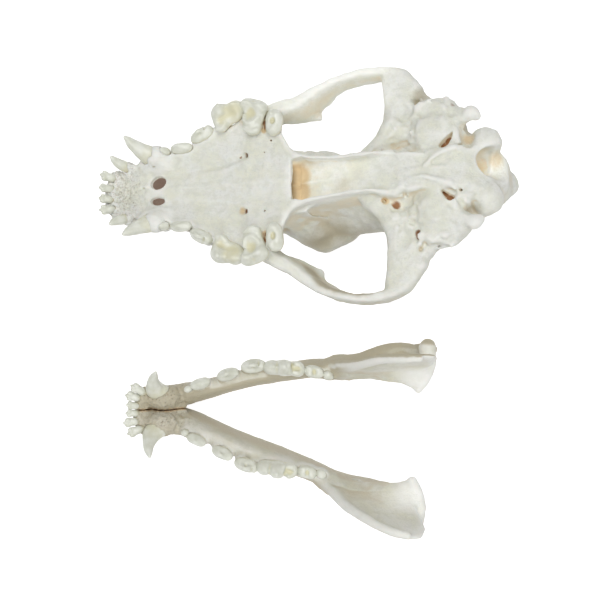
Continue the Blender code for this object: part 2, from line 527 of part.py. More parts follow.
# kind, place of the neck on the skull, turn of the row, outward lean, backward lean
UPPER_ROW = [
    ("upper_i1", (0.4, 2.4, -1.0), 98, -42, 0), ("upper_i2", (1.6, 7.4, -1.0), 80, -42, 0),
    ("upper_i3", (5.8, 11.8, -1.0), 46, -34, -2), ("upper_canine", (20.4, 14.4, 0.6), 8, -28, -8),
    ("upper_p1", (29.0, 17.0, 0.6), 4, -8, 0), ("upper_p2", (37.6, 18.6, 0.8), 4, -8, 0),
    ("upper_p3", (48.0, 23.8, 0.8), 27, -8, 0), ("upper_p4", (60.6, 33.2, 1.0), 15, -8, 0),
    ("upper_m1", (73.9, 30.0, 0.8), -5, -6, 0), ("upper_m2", (83.4, 26.8, 0.4), -12, -4, 0)]
LOWER_ROW = [
    ("lower_i1", (-1.6, 1.9, 22), 96, -52, 0), ("lower_i2", (-1.2, 5.4, 22.2), 84, -52, 0),
    ("lower_i3", (1.2, 9.2, 22.6), 56, -46, 0), ("lower_canine", (9.4, 8.8, 22.8), 14, -38, -10),
    ("lower_p1", (20.6, 10.7, 24.2), 22, -8, 0), ("lower_p2", (27.0, 13.5, 25.0), 22, -10, 0),
    ("lower_p3", (40.2, 18.9, 25.2), 20, -10, 0), ("lower_p4", (52.0, 22.9, 25.4), 12, -10, 0),
    ("lower_m1", (66.6, 24.3, 25.6), 2, -6, 0), ("lower_m2", (80.8, 24.8, 25.6), 0, -2, 0),
    ("lower_m3", (87.6, 24.6, 25.8), -4, 0, 0)]


# The cranium lies on its roof, so its left side is at +v; the jaw stands upright, so its left is at -v.
SIDES = {"upper": ((-1, "right"), (1, "left")), "lower": ((-1, "left"), (1, "right"))}
TOOTH_FACES = {"upper_canine": 78, "lower_canine": 74, "upper_p4": 86, "upper_m1": 104, "upper_m2": 66,
               "lower_m1": 100, "lower_m2": 62, "lower_m3": 40, "upper_p1": 42, "lower_p1": 38}
PLAIN_TOOTH_FACES = 54


def tooth_skin(kind, pitch):
    shapes = tooth_shapes(kind)
    low = np.min([s[0][0] for s in shapes], axis=0) - 1.5
    high = np.max([s[0][1] for s in shapes], axis=0) + 1.5
    b = Block(low, high, pitch)
    for shape, blend in shapes:
        b.join(shape, blend)
    return b.skin()


def tooth_frame(row):
    """Rotation of a tooth on the v > 0 side; columns are its own x, y, z in skull axes."""
    turn, out, back = row[2], row[3], row[4]
    spin = Matrix.Rotation(math.radians(turn), 3, "Z")
    tip = Matrix.Rotation(math.radians(out), 3, "X") @ Matrix.Rotation(math.radians(back), 3, "Y")
    return np.array(spin @ tip)


# Objects

def clear_scene():
    for item in list(bpy.data.objects):
        bpy.data.objects.remove(item, do_unlink=True)


def new_group(name, hidden=False):
    group = bpy.data.collections.new(name)
    bpy.context.scene.collection.children.link(group)
    group.hide_render = hidden
    return group


def material(name, colour, rough):
    m = bpy.data.materials.new(name)
    m.use_nodes = True
    surface = m.node_tree.nodes["Principled BSDF"]
    surface.inputs["Base Color"].default_value = (*colour, 1.0)
    surface.inputs["Roughness"].default_value = rough
    surface.inputs["Metallic"].default_value = 0.0
    return m


def keep_largest(bm):
    """Drop loose crumbs of skin, such as a speck left inside a carved hollow."""
    seen = set()
    islands = []
    for start in bm.verts:
        if start in seen:
            continue
        seen.add(start)
        island = [start]
        for vert in island:
            for edge in vert.link_edges:
                other = edge.other_vert(vert)
                if other not in seen:
                    seen.add(other)
                    island.append(other)
        islands.append(island)
    islands.sort(key=len)
    for island in islands[:-1]:
        bmesh.ops.delete(bm, geom=island, context="VERTS")


def add_object(name, skin, side, group, surface, parent):
    """Mesh object from a skin in millimetres; side -1 mirrors it across v."""
    points, faces = skin
    mesh = bpy.data.meshes.new(name)
    mesh.from_pydata((points * (MM, side * MM, MM)).tolist(), [], [f[::side] for f in faces])
    bm = bmesh.new()
    bm.from_mesh(mesh)
    keep_largest(bm)
    bmesh.ops.triangulate(bm, faces=bm.faces)
    bm.to_mesh(mesh)
    bm.free()
    mesh.materials.append(surface)
    item = bpy.data.objects.new(name, mesh)
    item.parent = parent
    group.objects.link(item)
    return item


def thin(item, faces):
    """Collapse the skin to about the given number of triangles."""
    step = item.modifiers.new("thin", "DECIMATE")
    step.ratio = min(1.0, faces / len(item.data.polygons))
    step.use_collapse_triangulate = True
    graph = bpy.context.evaluated_depsgraph_get()
    light = bpy.data.meshes.new_from_object(item.evaluated_get(graph))
    item.modifiers.remove(step)
    heavy = item.data
    item.data = light
    bpy.data.meshes.remove(heavy)


def swollen(tooth, plain):
    """Closed envelope that clears the tooth all round by the socket gap."""
    bm = bmesh.new()
    bm.from_mesh(tooth)
    if plain:
        hull = bmesh.ops.convex_hull(bm, input=bm.verts)
        loose = [e for e in hull["geom_interior"] + hull["geom_unused"] if isinstance(e, bmesh.types.BMVert)]
        bmesh.ops.delete(bm, geom=loose, context="VERTS")
        outside = {f for f in hull["geom"] if isinstance(f, bmesh.types.BMFace)}
        bmesh.ops.delete(bm, geom=[f for f in bm.faces if f not in outside], context="FACES")
        bmesh.ops.recalc_face_normals(bm, faces=bm.faces)
    bm.normal_update()
    places = [(v, v.co + v.normal * SOCKET_GAP * MM) for v in bm.verts]
    for v, place in places:
        v.co = place
    mesh = bpy.data.meshes.new("envelope")
    bm.to_mesh(mesh)
    bm.free()
    return mesh


def holder(name, x, y, turn):
    """Empty that carries one group of bones; the pose of the group is set here."""
    item = bpy.data.objects.new(name, None)
    item.location = (x * MM, y * MM, 0.0)
    item.rotation_euler = turn.to_euler()
    bpy.context.scene.collection.objects.link(item)
    return item


def lowest(item):
    matrix = item.matrix_world
    return min((matrix @ v.co).z for v in item.data.vertices)


def add_teeth(rows, bones, bend, groups, surface, parent):
    """Both sides of one row of teeth, each with the socket it stands in."""
    group, cutters = groups
    for row in rows:
        kind, place = row[0], np.array([row[1]], float)
        skin = tooth_skin(kind, TOOTH_PITCH)
        for side, hand in SIDES[kind[:5]]:
            name = kind + "_" + hand
            tooth = add_object(name, skin, side, group, surface, parent)
            thin(tooth, TOOTH_FACES.get(kind, PLAIN_TOOTH_FACES))
            flip = np.diag((1, side, 1))
            at = bend(place * (1, side, 1))[0] * MM
            turn = Matrix((flip @ tooth_frame(row) @ flip).tolist())
            tooth.location = at
            tooth.rotation_euler = turn.to_euler()
            curved = kind.endswith(("canine", "i3"))
            cutter = bpy.data.objects.new("socket_" + name, swollen(tooth.data, not curved))
            cutter.parent = parent
            cutter.location = tooth.location
            cutter.rotation_euler = tooth.rotation_euler
            cutter.display_type = "WIRE"
            cutter.hide_render = True
            cutters.objects.link(cutter)
            cut = bones[side].modifiers.new(cutter.name, "BOOLEAN")
            cut.operation = "DIFFERENCE"
            cut.solver = "EXACT"
            cut.object = cutter


def centre_on_floor(group, holders):
    """Move everything so that the middle of its bounding box stands on the origin."""
    graph = bpy.context.evaluated_depsgraph_get()
    corners = []
    for item in group.objects:
        mesh = item.evaluated_get(graph).to_mesh()
        co = np.zeros(len(mesh.vertices) * 3)
        mesh.vertices.foreach_get("co", co)
        matrix = np.array(item.matrix_world)
        corners.append(co.reshape(-1, 3) @ matrix[:3, :3].T + matrix[:3, 3])
    every = np.vstack(corners)
    low, high = every.min(axis=0), every.max(axis=0)
    move = (-(low[0] + high[0]) / 2, -(low[1] + high[1]) / 2, -low[2])
    for item in holders:
        item.location = [a + b for a, b in zip(item.location, move)]
    return [a / MM for a in move]


def build():
    clear_scene()
    group = new_group("dog_skull")
    cutters = new_group("socket_cutters", hidden=True)
    bone = material("bleached_bone", (0.80, 0.79, 0.75), 0.62)
    cream = material("cream_bone", (0.76, 0.73, 0.66), 0.64)
    enamel = material("enamel", (0.82, 0.82, 0.76), 0.32)

    pose = (Matrix.Rotation(SKULL_YAW, 3, "Z") @ Matrix.Rotation(-SKULL_PITCH, 3, "Y")
            @ Matrix.Rotation(-SKULL_ROLL, 3, "X"))
    skull = holder("cranium_holder", *SKULL_AT, pose)
    points, faces = cranium_field(BONE_PITCH, WALL).skin(mirror=True)
    cranium = add_object("cranium", (lean_aside(points), faces), 1, group, bone, skull)
    thin(cranium, CRANIUM_FACES)

    jaw = holder("jaw_holder", *JAW_AT, Matrix.Rotation(JAW_YAW, 3, "Z"))
    points, faces = jaw_field(BONE_PITCH).skin()
    halves = {}
    for side, name in ((-1, "mandible_left"), (1, "mandible_right")):
        leaned = sway(points * (1, side, 1)) * (1, side, 1)
        halves[side] = add_object(name, (leaned, faces), side, group, cream, jaw)
        thin(halves[side], JAW_FACES)

    bpy.context.view_layer.update()
    skull.location.z = -lowest(cranium)
    jaw.location.z = -min(lowest(half) for half in halves.values())
    add_teeth(UPPER_ROW, {-1: cranium, 1: cranium}, lean_aside, (group, cutters), enamel, skull)
    add_teeth(LOWER_ROW, halves, sway, (group, cutters), enamel, jaw)
    bpy.context.view_layer.update()
    return centre_on_floor(group, (skull, jaw))


moved_by = build()
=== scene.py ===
# Dog skull, as it is seen: the imported model is the frame, and every bone and tooth
# is made again over it at fine pitch, with foramina, sockets and cusps.
# Skull axes: u runs back from the front of the palate, v sideways, w towards the palate side.

import math

import bpy
import numpy as np
import openvdb
from mathutils import Matrix, Vector


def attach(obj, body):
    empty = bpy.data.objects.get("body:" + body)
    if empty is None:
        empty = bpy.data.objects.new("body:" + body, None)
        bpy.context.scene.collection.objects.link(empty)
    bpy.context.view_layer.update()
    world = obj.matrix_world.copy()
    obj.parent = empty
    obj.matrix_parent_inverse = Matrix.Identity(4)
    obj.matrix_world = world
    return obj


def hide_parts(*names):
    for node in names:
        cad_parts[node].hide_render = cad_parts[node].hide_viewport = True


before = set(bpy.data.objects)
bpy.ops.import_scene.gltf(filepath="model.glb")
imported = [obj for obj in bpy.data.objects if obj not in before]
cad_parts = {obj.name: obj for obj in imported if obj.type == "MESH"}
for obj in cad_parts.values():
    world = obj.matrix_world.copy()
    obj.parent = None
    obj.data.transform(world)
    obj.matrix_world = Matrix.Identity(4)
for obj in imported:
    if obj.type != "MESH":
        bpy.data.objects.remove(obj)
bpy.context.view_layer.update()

MM = 0.001
BONE_PITCH = 0.5
TOOTH_PITCH = 0.24
TOOTH_ROOM = 1.2
CRANIUM_FACES = 190000
JAW_FACES = 60000
TOOTH_FACES = 5200
PATH_STEPS = 4
SOCKET_GAP = -0.04
SOCKET_EDGE = 0.3
ROOT_SWELL = 2.4
HALF_SEAM = 0.18
SKULL_PITCH = math.radians(18.0)
SKULL_ROLL = math.radians(7.2)
SKULL_YAW = math.radians(2.7)
JAW_YAW = math.radians(-4.0)
SKULL_AT = (-94.2866, 50.6099, 22.6547)
JAW_AT = (-79.5866, -52.5901, 0.0214)
CAMERA_AT = (-4.7866, 0.3099, 450.0)
LENS = 54
SENSOR = 36
NEAR_CLIP = 0.01

# reach, in millimetres, within which creases, cavities and tooth basins darken the surface with painted
# shade; the crease reach also sets the painted highlight on edges
CREASE = 2.2
CAVITY = 8.0
JAW_CAVITY = 7.0
BASIN = 1.2


# Curves and distance shapes

def curve(xs, ys):
    """Smooth curve through the given stations that never overshoots them."""
    xs = np.array(xs, float)
    ys = np.array(ys, float)
    gap = np.diff(xs)
    rise = np.diff(ys) / gap
    slope = np.zeros(len(xs))
    same = rise[:-1] * rise[1:] > 0
    total = np.where(same, rise[:-1] + rise[1:], 1.0)
    slope[1:-1] = np.where(same, 2 * rise[:-1] * rise[1:] / total, 0.0)
    slope[0] = rise[0]
    slope[-1] = rise[-1]

    def at(x):
        x = np.clip(x, xs[0], xs[-1])
        i = np.clip(np.searchsorted(xs, x, side="right") - 1, 0, len(gap) - 1)
        t = (x - xs[i]) / gap[i]
        flat = (1 + 2 * t) * (1 - t) ** 2 * ys[i] + t * t * (3 - 2 * t) * ys[i + 1]
        return flat + gap[i] * (t * (1 - t) ** 2 * slope[i] - t * t * (1 - t) * slope[i + 1])

    return at


def ramp(x, start, length):
    """0 up to the start and 1 from start + length on; a negative length runs downwards."""
    return np.clip((x - start) / length, 0, 1)


def low_blend(a, b, k):
    """The lower of two values, rounded off within k of where they meet."""
    if k <= 0:
        return np.minimum(a, b)
    h = np.maximum(k - np.abs(a - b), 0.0) / k
    return np.minimum(a, b) - h * h * k * 0.25


def high_blend(a, b, k):
    """The higher of two values, rounded off in the same way."""
    return -low_blend(-a, -b, k)


def turned(angles):
    """Turn by degrees about X, then Y, then Z, as an array."""
    rx, ry, rz = [math.radians(a) for a in angles]
    whole = Matrix.Rotation(rz, 3, "Z") @ Matrix.Rotation(ry, 3, "Y") @ Matrix.Rotation(rx, 3, "X")
    return np.array(whole)


def ball(centre, radii, angles=(0, 0, 0)):
    """Ellipsoid with its own turn, as (low corner, high corner, distance)."""
    centre = np.array(centre, float)
    r = np.array(radii, float)
    axes = turned(angles)
    reach = np.sqrt(((axes * r) ** 2).sum(axis=1))

    def distance(u, v, w):
        p = (u - centre[0], v - centre[1], w - centre[2])
        q = [axes[0, i] * p[0] + axes[1, i] * p[1] + axes[2, i] * p[2] for i in range(3)]
        k0 = np.sqrt(sum((q[i] / r[i]) ** 2 for i in range(3)))
        k1 = np.sqrt(sum((q[i] / r[i] ** 2) ** 2 for i in range(3)))
        return np.where(k0 < 1e-3, -r.min(), k0 * (k0 - 1) / np.maximum(k1, 1e-6))

    return centre - reach, centre + reach, distance


def smooth_path(points):
    """Catmull-Rom samples; every row may carry radii after its three coordinates."""
    p = np.array(points, float)
    if len(p) == 2:
        t = np.linspace(0, 1, PATH_STEPS)[:, None]
        return p[0] * (1 - t) + p[1] * t
    ends = np.vstack([2 * p[0] - p[1], p, 2 * p[-1] - p[-2]])
    rows = []
    for i in range(1, len(p)):
        a, b, c, d = ends[i - 1], ends[i], ends[i + 1], ends[i + 2]
        for t in np.linspace(0, 1, PATH_STEPS, endpoint=False):
            rows.append(0.5 * (2 * b + (c - a) * t + (2 * a - 5 * b + 4 * c - d) * t * t
                               + (3 * b - a - 3 * c + d) * t ** 3))
    rows.append(p[-1])
    return np.array(rows)


def limb(points):
    """Round tapering limb; each point is (u, v, w, radius)."""
    path = smooth_path(points)
    r = np.maximum(path[:, 3:4], 0.05)
    low = (path[:, :3] - r).min(axis=0)
    high = (path[:, :3] + r).max(axis=0)

    def distance(u, v, w):
        best = None
        for a, b in zip(path[:-1], path[1:]):
            e = b[:3] - a[:3]
            length = max(float(e @ e), 1e-9)
            t = ((u - a[0]) * e[0] + (v - a[1]) * e[1] + (w - a[2]) * e[2]) / length
            t = np.clip(t, 0.0, 1.0)
            gap = np.sqrt((u - a[0] - e[0] * t) ** 2 + (v - a[1] - e[1] * t) ** 2
                          + (w - a[2] - e[2] * t) ** 2) - (a[3] + (b[3] - a[3]) * t)
            best = gap if best is None else np.minimum(best, gap)
        return best

    return low, high, distance


def band(points, side, power=2.0):
    """Flattened limb; each point is (u, v, w, half across, half along side, turn in degrees)."""
    path = smooth_path(points)
    side = np.array(side, float)
    reach = np.maximum(path[:, 3], path[:, 4])[:, None]
    low = (path[:, :3] - reach).min(axis=0)
    high = (path[:, :3] + reach).max(axis=0)
    tangent = np.gradient(path[:, :3], axis=0)
    tangent /= np.linalg.norm(tangent, axis=1)[:, None]
    tall = side - tangent * (tangent @ side)[:, None]
    tall /= np.linalg.norm(tall, axis=1)[:, None]
    wide = np.cross(tall, tangent)
    turn = np.radians(path[:, 5])[:, None]
    axis_a = wide * np.cos(turn) + tall * np.sin(turn)
    axis_b = tall * np.cos(turn) - wide * np.sin(turn)

    def distance(u, v, w):
        shape = np.broadcast(u, v, w).shape
        nearest = np.full(shape, 1e9)
        place = np.zeros(shape)
        for i in range(len(path) - 1):
            a = path[i, :3]
            e = path[i + 1, :3] - a
            t = ((u - a[0]) * e[0] + (v - a[1]) * e[1] + (w - a[2]) * e[2]) / max(float(e @ e), 1e-9)
            t = np.clip(t, 0.0, 1.0)
            gap = (u - a[0] - e[0] * t) ** 2 + (v - a[1] - e[1] * t) ** 2 + (w - a[2] - e[2] * t) ** 2
            closer = gap < nearest
            nearest = np.where(closer, gap, nearest)
            place = np.where(closer, i + t, place)
        i = np.minimum(place.astype(int), len(path) - 2)
        t = place - i

        def mix(column):
            return column[i] * (1 - t) + column[i + 1] * t

        du = u - mix(path[:, 0])
        dv = v - mix(path[:, 1])
        dw = w - mix(path[:, 2])
        a = du * mix(axis_a[:, 0]) + dv * mix(axis_a[:, 1]) + dw * mix(axis_a[:, 2])
        b = du * mix(axis_b[:, 0]) + dv * mix(axis_b[:, 1]) + dw * mix(axis_b[:, 2])
        c = np.sqrt(np.maximum(du * du + dv * dv + dw * dw - a * a - b * b, 0.0))
        ra = mix(path[:, 3])
        rb = mix(path[:, 4])
        cap = np.minimum(ra, rb)
        qa, qb, qc = np.abs(a) / ra, np.abs(b) / rb, c / cap
        k = (qa ** power + qb ** power + qc ** power) ** (1 / power) + 1e-6
        g = np.sqrt((qa ** (power - 1) / ra) ** 2 + (qb ** (power - 1) / rb) ** 2
                    + (qc ** (power - 1) / cap) ** 2) * k ** (1 - power)
        return (k - 1) / np.maximum(g, 1e-3)

    return low, high, distance


def form(low, high, rule):
    """Free shape from an implicit rule, turned into a distance by its own slope."""
    def distance(u, v, w):
        f = np.asarray(rule(u, v, w) + 0 * (u + v + w), np.float32)
        step = [float(np.ravel(axis)[1] - np.ravel(axis)[0]) for axis in (u, v, w)]
        grads = np.gradient(f, *step)
        return f / np.maximum(np.sqrt(sum(g * g for g in grads)), 0.02)

    return np.array(low, float), np.array(high, float), distance


def outline(points, u, w):
    """Signed distance to a closed outline in the u-w plane."""
    p = np.array(points, float)
    best = np.full(np.broadcast(u, w).shape, 1e9)
    inside = np.zeros(best.shape, bool)
    for a, b in zip(p, np.roll(p, -1, axis=0)):
        e = b - a
        t = np.clip(((u - a[0]) * e[0] + (w - a[1]) * e[1]) / (e @ e), 0, 1)
        best = np.minimum(best, np.hypot(u - a[0] - e[0] * t, w - a[1] - e[1] * t))
        crosses = (a[1] > w) != (b[1] > w)
        where = a[0] + (w - a[1]) * e[0] / (e[1] if e[1] else 1e-9)
        inside ^= crosses & (u < where)
    return np.where(inside, -best, best)


def together(shapes, grow=0.0):
    """Several (shape, blend) pairs as one shape, swollen by grow."""
    low = np.min([s[0][0] for s in shapes], axis=0) - grow
    high = np.max([s[0][1] for s in shapes], axis=0) + grow

    def distance(u, v, w):
        whole = None
        for shape, blend in shapes:
            part = shape[2](u, v, w)
            whole = part if whole is None else low_blend(whole, part, blend)
        return whole - grow

    return low, high, distance


def placed(shape, axes, at):
    """A shape given in its own axes, turned by the columns of axes and moved to at."""
    low, high, distance = shape
    ends = (low, high)
    corners = np.array([[x[0], y[1], z[2]] for x in ends for y in ends for z in ends])
    moved = corners @ axes.T + at

    def there(u, v, w):
        p = (u - at[0], v - at[1], w - at[2])
        return distance(*[axes[0, i] * p[0] + axes[1, i] * p[1] + axes[2, i] * p[2] for i in range(3)])

    return moved.min(axis=0), moved.max(axis=0), there


class Block:
    """A box of samples that shapes are joined to and carved from."""

    def __init__(self, low, high, pitch):
        self.low = np.array(low, float)
        self.pitch = pitch
        self.count = np.ceil((np.array(high) - self.low) / pitch).astype(int) + 1
        self.field = np.full(self.count, 9.0, np.float32)

    def window(self, low, high, margin):
        """The samples round a box, and where they lie on each axis."""
        a = np.floor((low - margin - self.low) / self.pitch).astype(int)
        b = np.ceil((high + margin - self.low) / self.pitch).astype(int) + 1
        a = np.clip(a, 0, self.count - 2)
        b = np.clip(b, a + 2, self.count)
        where = tuple(slice(i, j) for i, j in zip(a, b))
        axes = [(self.low[i] + self.pitch * np.arange(a[i], b[i])).astype(np.float32) for i in range(3)]
        return where, axes[0][:, None, None], axes[1][None, :, None], axes[2][None, None, :]

    def join(self, shape, blend=0.0):
        where, u, v, w = self.window(shape[0], shape[1], blend + 3 * self.pitch)
        self.field[where] = low_blend(self.field[where], shape[2](u, v, w), blend)

    def carve(self, shape, blend=0.0):
        where, u, v, w = self.window(shape[0], shape[1], blend + 3 * self.pitch)
        self.field[where] = high_blend(self.field[where], -shape[2](u, v, w), blend)

    def trim_side(self, least):
        """Flat face at v = least, with nothing left beyond it."""
        v = self.low[1] + self.pitch * np.arange(self.count[1])
        self.field = np.maximum(self.field, (least - v)[None, :, None]).astype(np.float32)

    def lumps(self, size, seed):
        """Smooth random relief from -1 to 1 whose lumps are about size millimetres across."""
        cells = np.ceil(self.count * self.pitch / size).astype(int) + 2
        values = np.random.default_rng(seed).uniform(-1, 1, cells).astype(np.float32)
        for axis in range(3):
            at = np.arange(self.count[axis]) * self.pitch / size
            i = at.astype(int)
            t = at - i
            t = (t * t * (3 - 2 * t)).astype(np.float32)
            t = t.reshape([-1 if a == axis else 1 for a in range(3)])
            values = np.take(values, i, axis=axis) * (1 - t) + np.take(values, i + 1, axis=axis) * t
        return values

    def roughen(self, size, height, seed):
        """Uneven the whole surface a little, as grown bone is."""
        self.field += self.lumps(size, seed) * height

    def gnarl(self, shape, size, height, seed, soft=4.0):
        """Rugged bone within a shape."""
        where, u, v, w = self.window(shape[0], shape[1], soft)
        mask = np.clip(-shape[2](u, v, w) / soft + 1, 0, 1)
        self.field[where] += (self.lumps(size, seed)[where] * height * mask).astype(np.float32)

    def mirror(self):
        """The half at v >= 0 becomes the whole, symmetric about v = 0."""
        self.field = np.concatenate([self.field[:, :0:-1, :], self.field], axis=1)
        self.low[1] = -self.pitch * (self.count[1] - 1)
        self.count = np.array(self.field.shape)

    def skin(self):
        """Vertices in millimetres and triangles of the surface."""
        limit = 3 * self.pitch
        field = np.pad(np.clip(self.field, -limit, limit), 1, constant_values=limit)
        grid = openvdb.FloatGrid(limit)
        grid.copyFromArray(np.ascontiguousarray(field, np.float32))
        grid.transform = openvdb.createLinearTransform(voxelSize=self.pitch)
        points, tris, quads = grid.convertToPolygons(isovalue=0.0, adaptivity=0.0)
        points = np.array(points, float) + self.low - self.pitch
        quads = np.array(quads, int).reshape(-1, 4)
        halves = np.vstack([quads[:, [0, 1, 2]], quads[:, [0, 2, 3]]])
        return points, np.vstack([np.array(tris, int).reshape(-1, 3), halves])

    def crowding(self, radius):
        """Share of solid round every sample, about the radius wide: 0.5 on a flat, more in a hollow."""
        full = np.clip(0.5 - self.field / self.pitch, 0, 1).astype(np.float32)
        reach = max(1, int(round(radius / self.pitch)))
        for axis in (0, 1, 2):
            for _ in range(2):
                pad = [(0, 0)] * 3
                pad[axis] = (reach + 1, reach)
                run = np.cumsum(np.pad(full, pad), axis=axis, dtype=np.float64)
                size = full.shape[axis]
                top = np.take(run, np.arange(2 * reach + 1, 2 * reach + 1 + size), axis=axis)
                foot = np.take(run, np.arange(0, size), axis=axis)
                full = ((top - foot) / (2 * reach + 1)).astype(np.float32)
        return full

    def sample(self, values, points):
        """Values of a sample array read at the given places."""
        p = (points - self.low) / self.pitch
        i = np.clip(np.floor(p).astype(int), 0, np.array(values.shape) - 2)
        t = np.clip(p - i, 0, 1)
        total = np.zeros(len(points))
        for a in (0, 1):
            for b in (0, 1):
                for c in (0, 1):
                    share = (t[:, 0] if a else 1 - t[:, 0]) * (t[:, 1] if b else 1 - t[:, 1])
                    share = share * (t[:, 2] if c else 1 - t[:, 2])
                    total += share * values[i[:, 0] + a, i[:, 1] + b, i[:, 2] + c]
        return total


# Teeth
# Own axes of a tooth: x back along the row, y outwards, z from neck to tip.

def lobe(x, y, z, long, wide, tall, turn=0):
    """Swollen part of a crown, turned about its height."""
    return ball((x, y, z), (long, wide, tall), (0, 0, turn))


def spike(points):
    """Curved crown and root; each point is (x, y, z, half width, half length)."""
    return band([(*row, 0) for row in points], (1, 0, 0))


def root(x, y, long, wide, depth):
    """Root that narrows towards its end."""
    return spike([(x, y, 0.4, wide, long), (x, y, -depth * 0.5, wide * 0.86, long * 0.86),
                  (x, y, -depth + 0.8, wide * 0.5, long * 0.5)])


def premolar(long, wide, tall, heel):
    """Blade with a blunt middle cusp, a swollen foot, two roots and a heel cusp where it has one."""
    shapes = [(lobe(0, 0, 0.5, long, wide, 2.6), 0),
              (limb([(-long * 0.62, 0, 1.4, 1.0), (-0.6, 0, tall - 1.1, 1.0),
                     (long * 0.3, 0, tall * 0.55, 1.1), (long * 0.72, 0, 1.6, 0.9)]), 1.8),
              (root(-long * 0.48, 0, long * 0.36, wide * 0.7, 5.5), 0.9),
              (root(long * 0.48, 0, long * 0.38, wide * 0.7, 5.5), 0.9)]
    if heel:
        shapes.append((lobe(long * 0.66, 0, heel - 0.8, 1.5, wide * 0.6, 1.3), 0.8))
    return shapes


def incisor(big):
    """Small crown, widest at its edge where three lobes stand side by side, on a narrow root."""
    return [(spike([(0, -0.8, -6, 1.3 * big, 0.9 * big), (0, -0.4, -1, 1.8 * big, 1.2 * big),
                    (0, 0, 2.2 * big, 1.8 * big, 1.55 * big),
                    (0, 0.2, 4.0 * big, 1.2 * big, 1.75 * big)]), 0),
            (lobe(0, 0.3, 4.6 * big, 0.85 * big, 1.2 * big, 1.5 * big), 0.5),
            (lobe(1.25 * big, 0, 3.9 * big, 0.7 * big, 1.1 * big, 1.4 * big, -12), 0.4),
            (lobe(-1.25 * big, 0, 3.9 * big, 0.7 * big, 1.1 * big, 1.4 * big, 12), 0.4),
            (lobe(0, -1.0 * big, 1.4 * big, 1.5 * big, 1.5 * big, 1.6 * big), 1.0)]


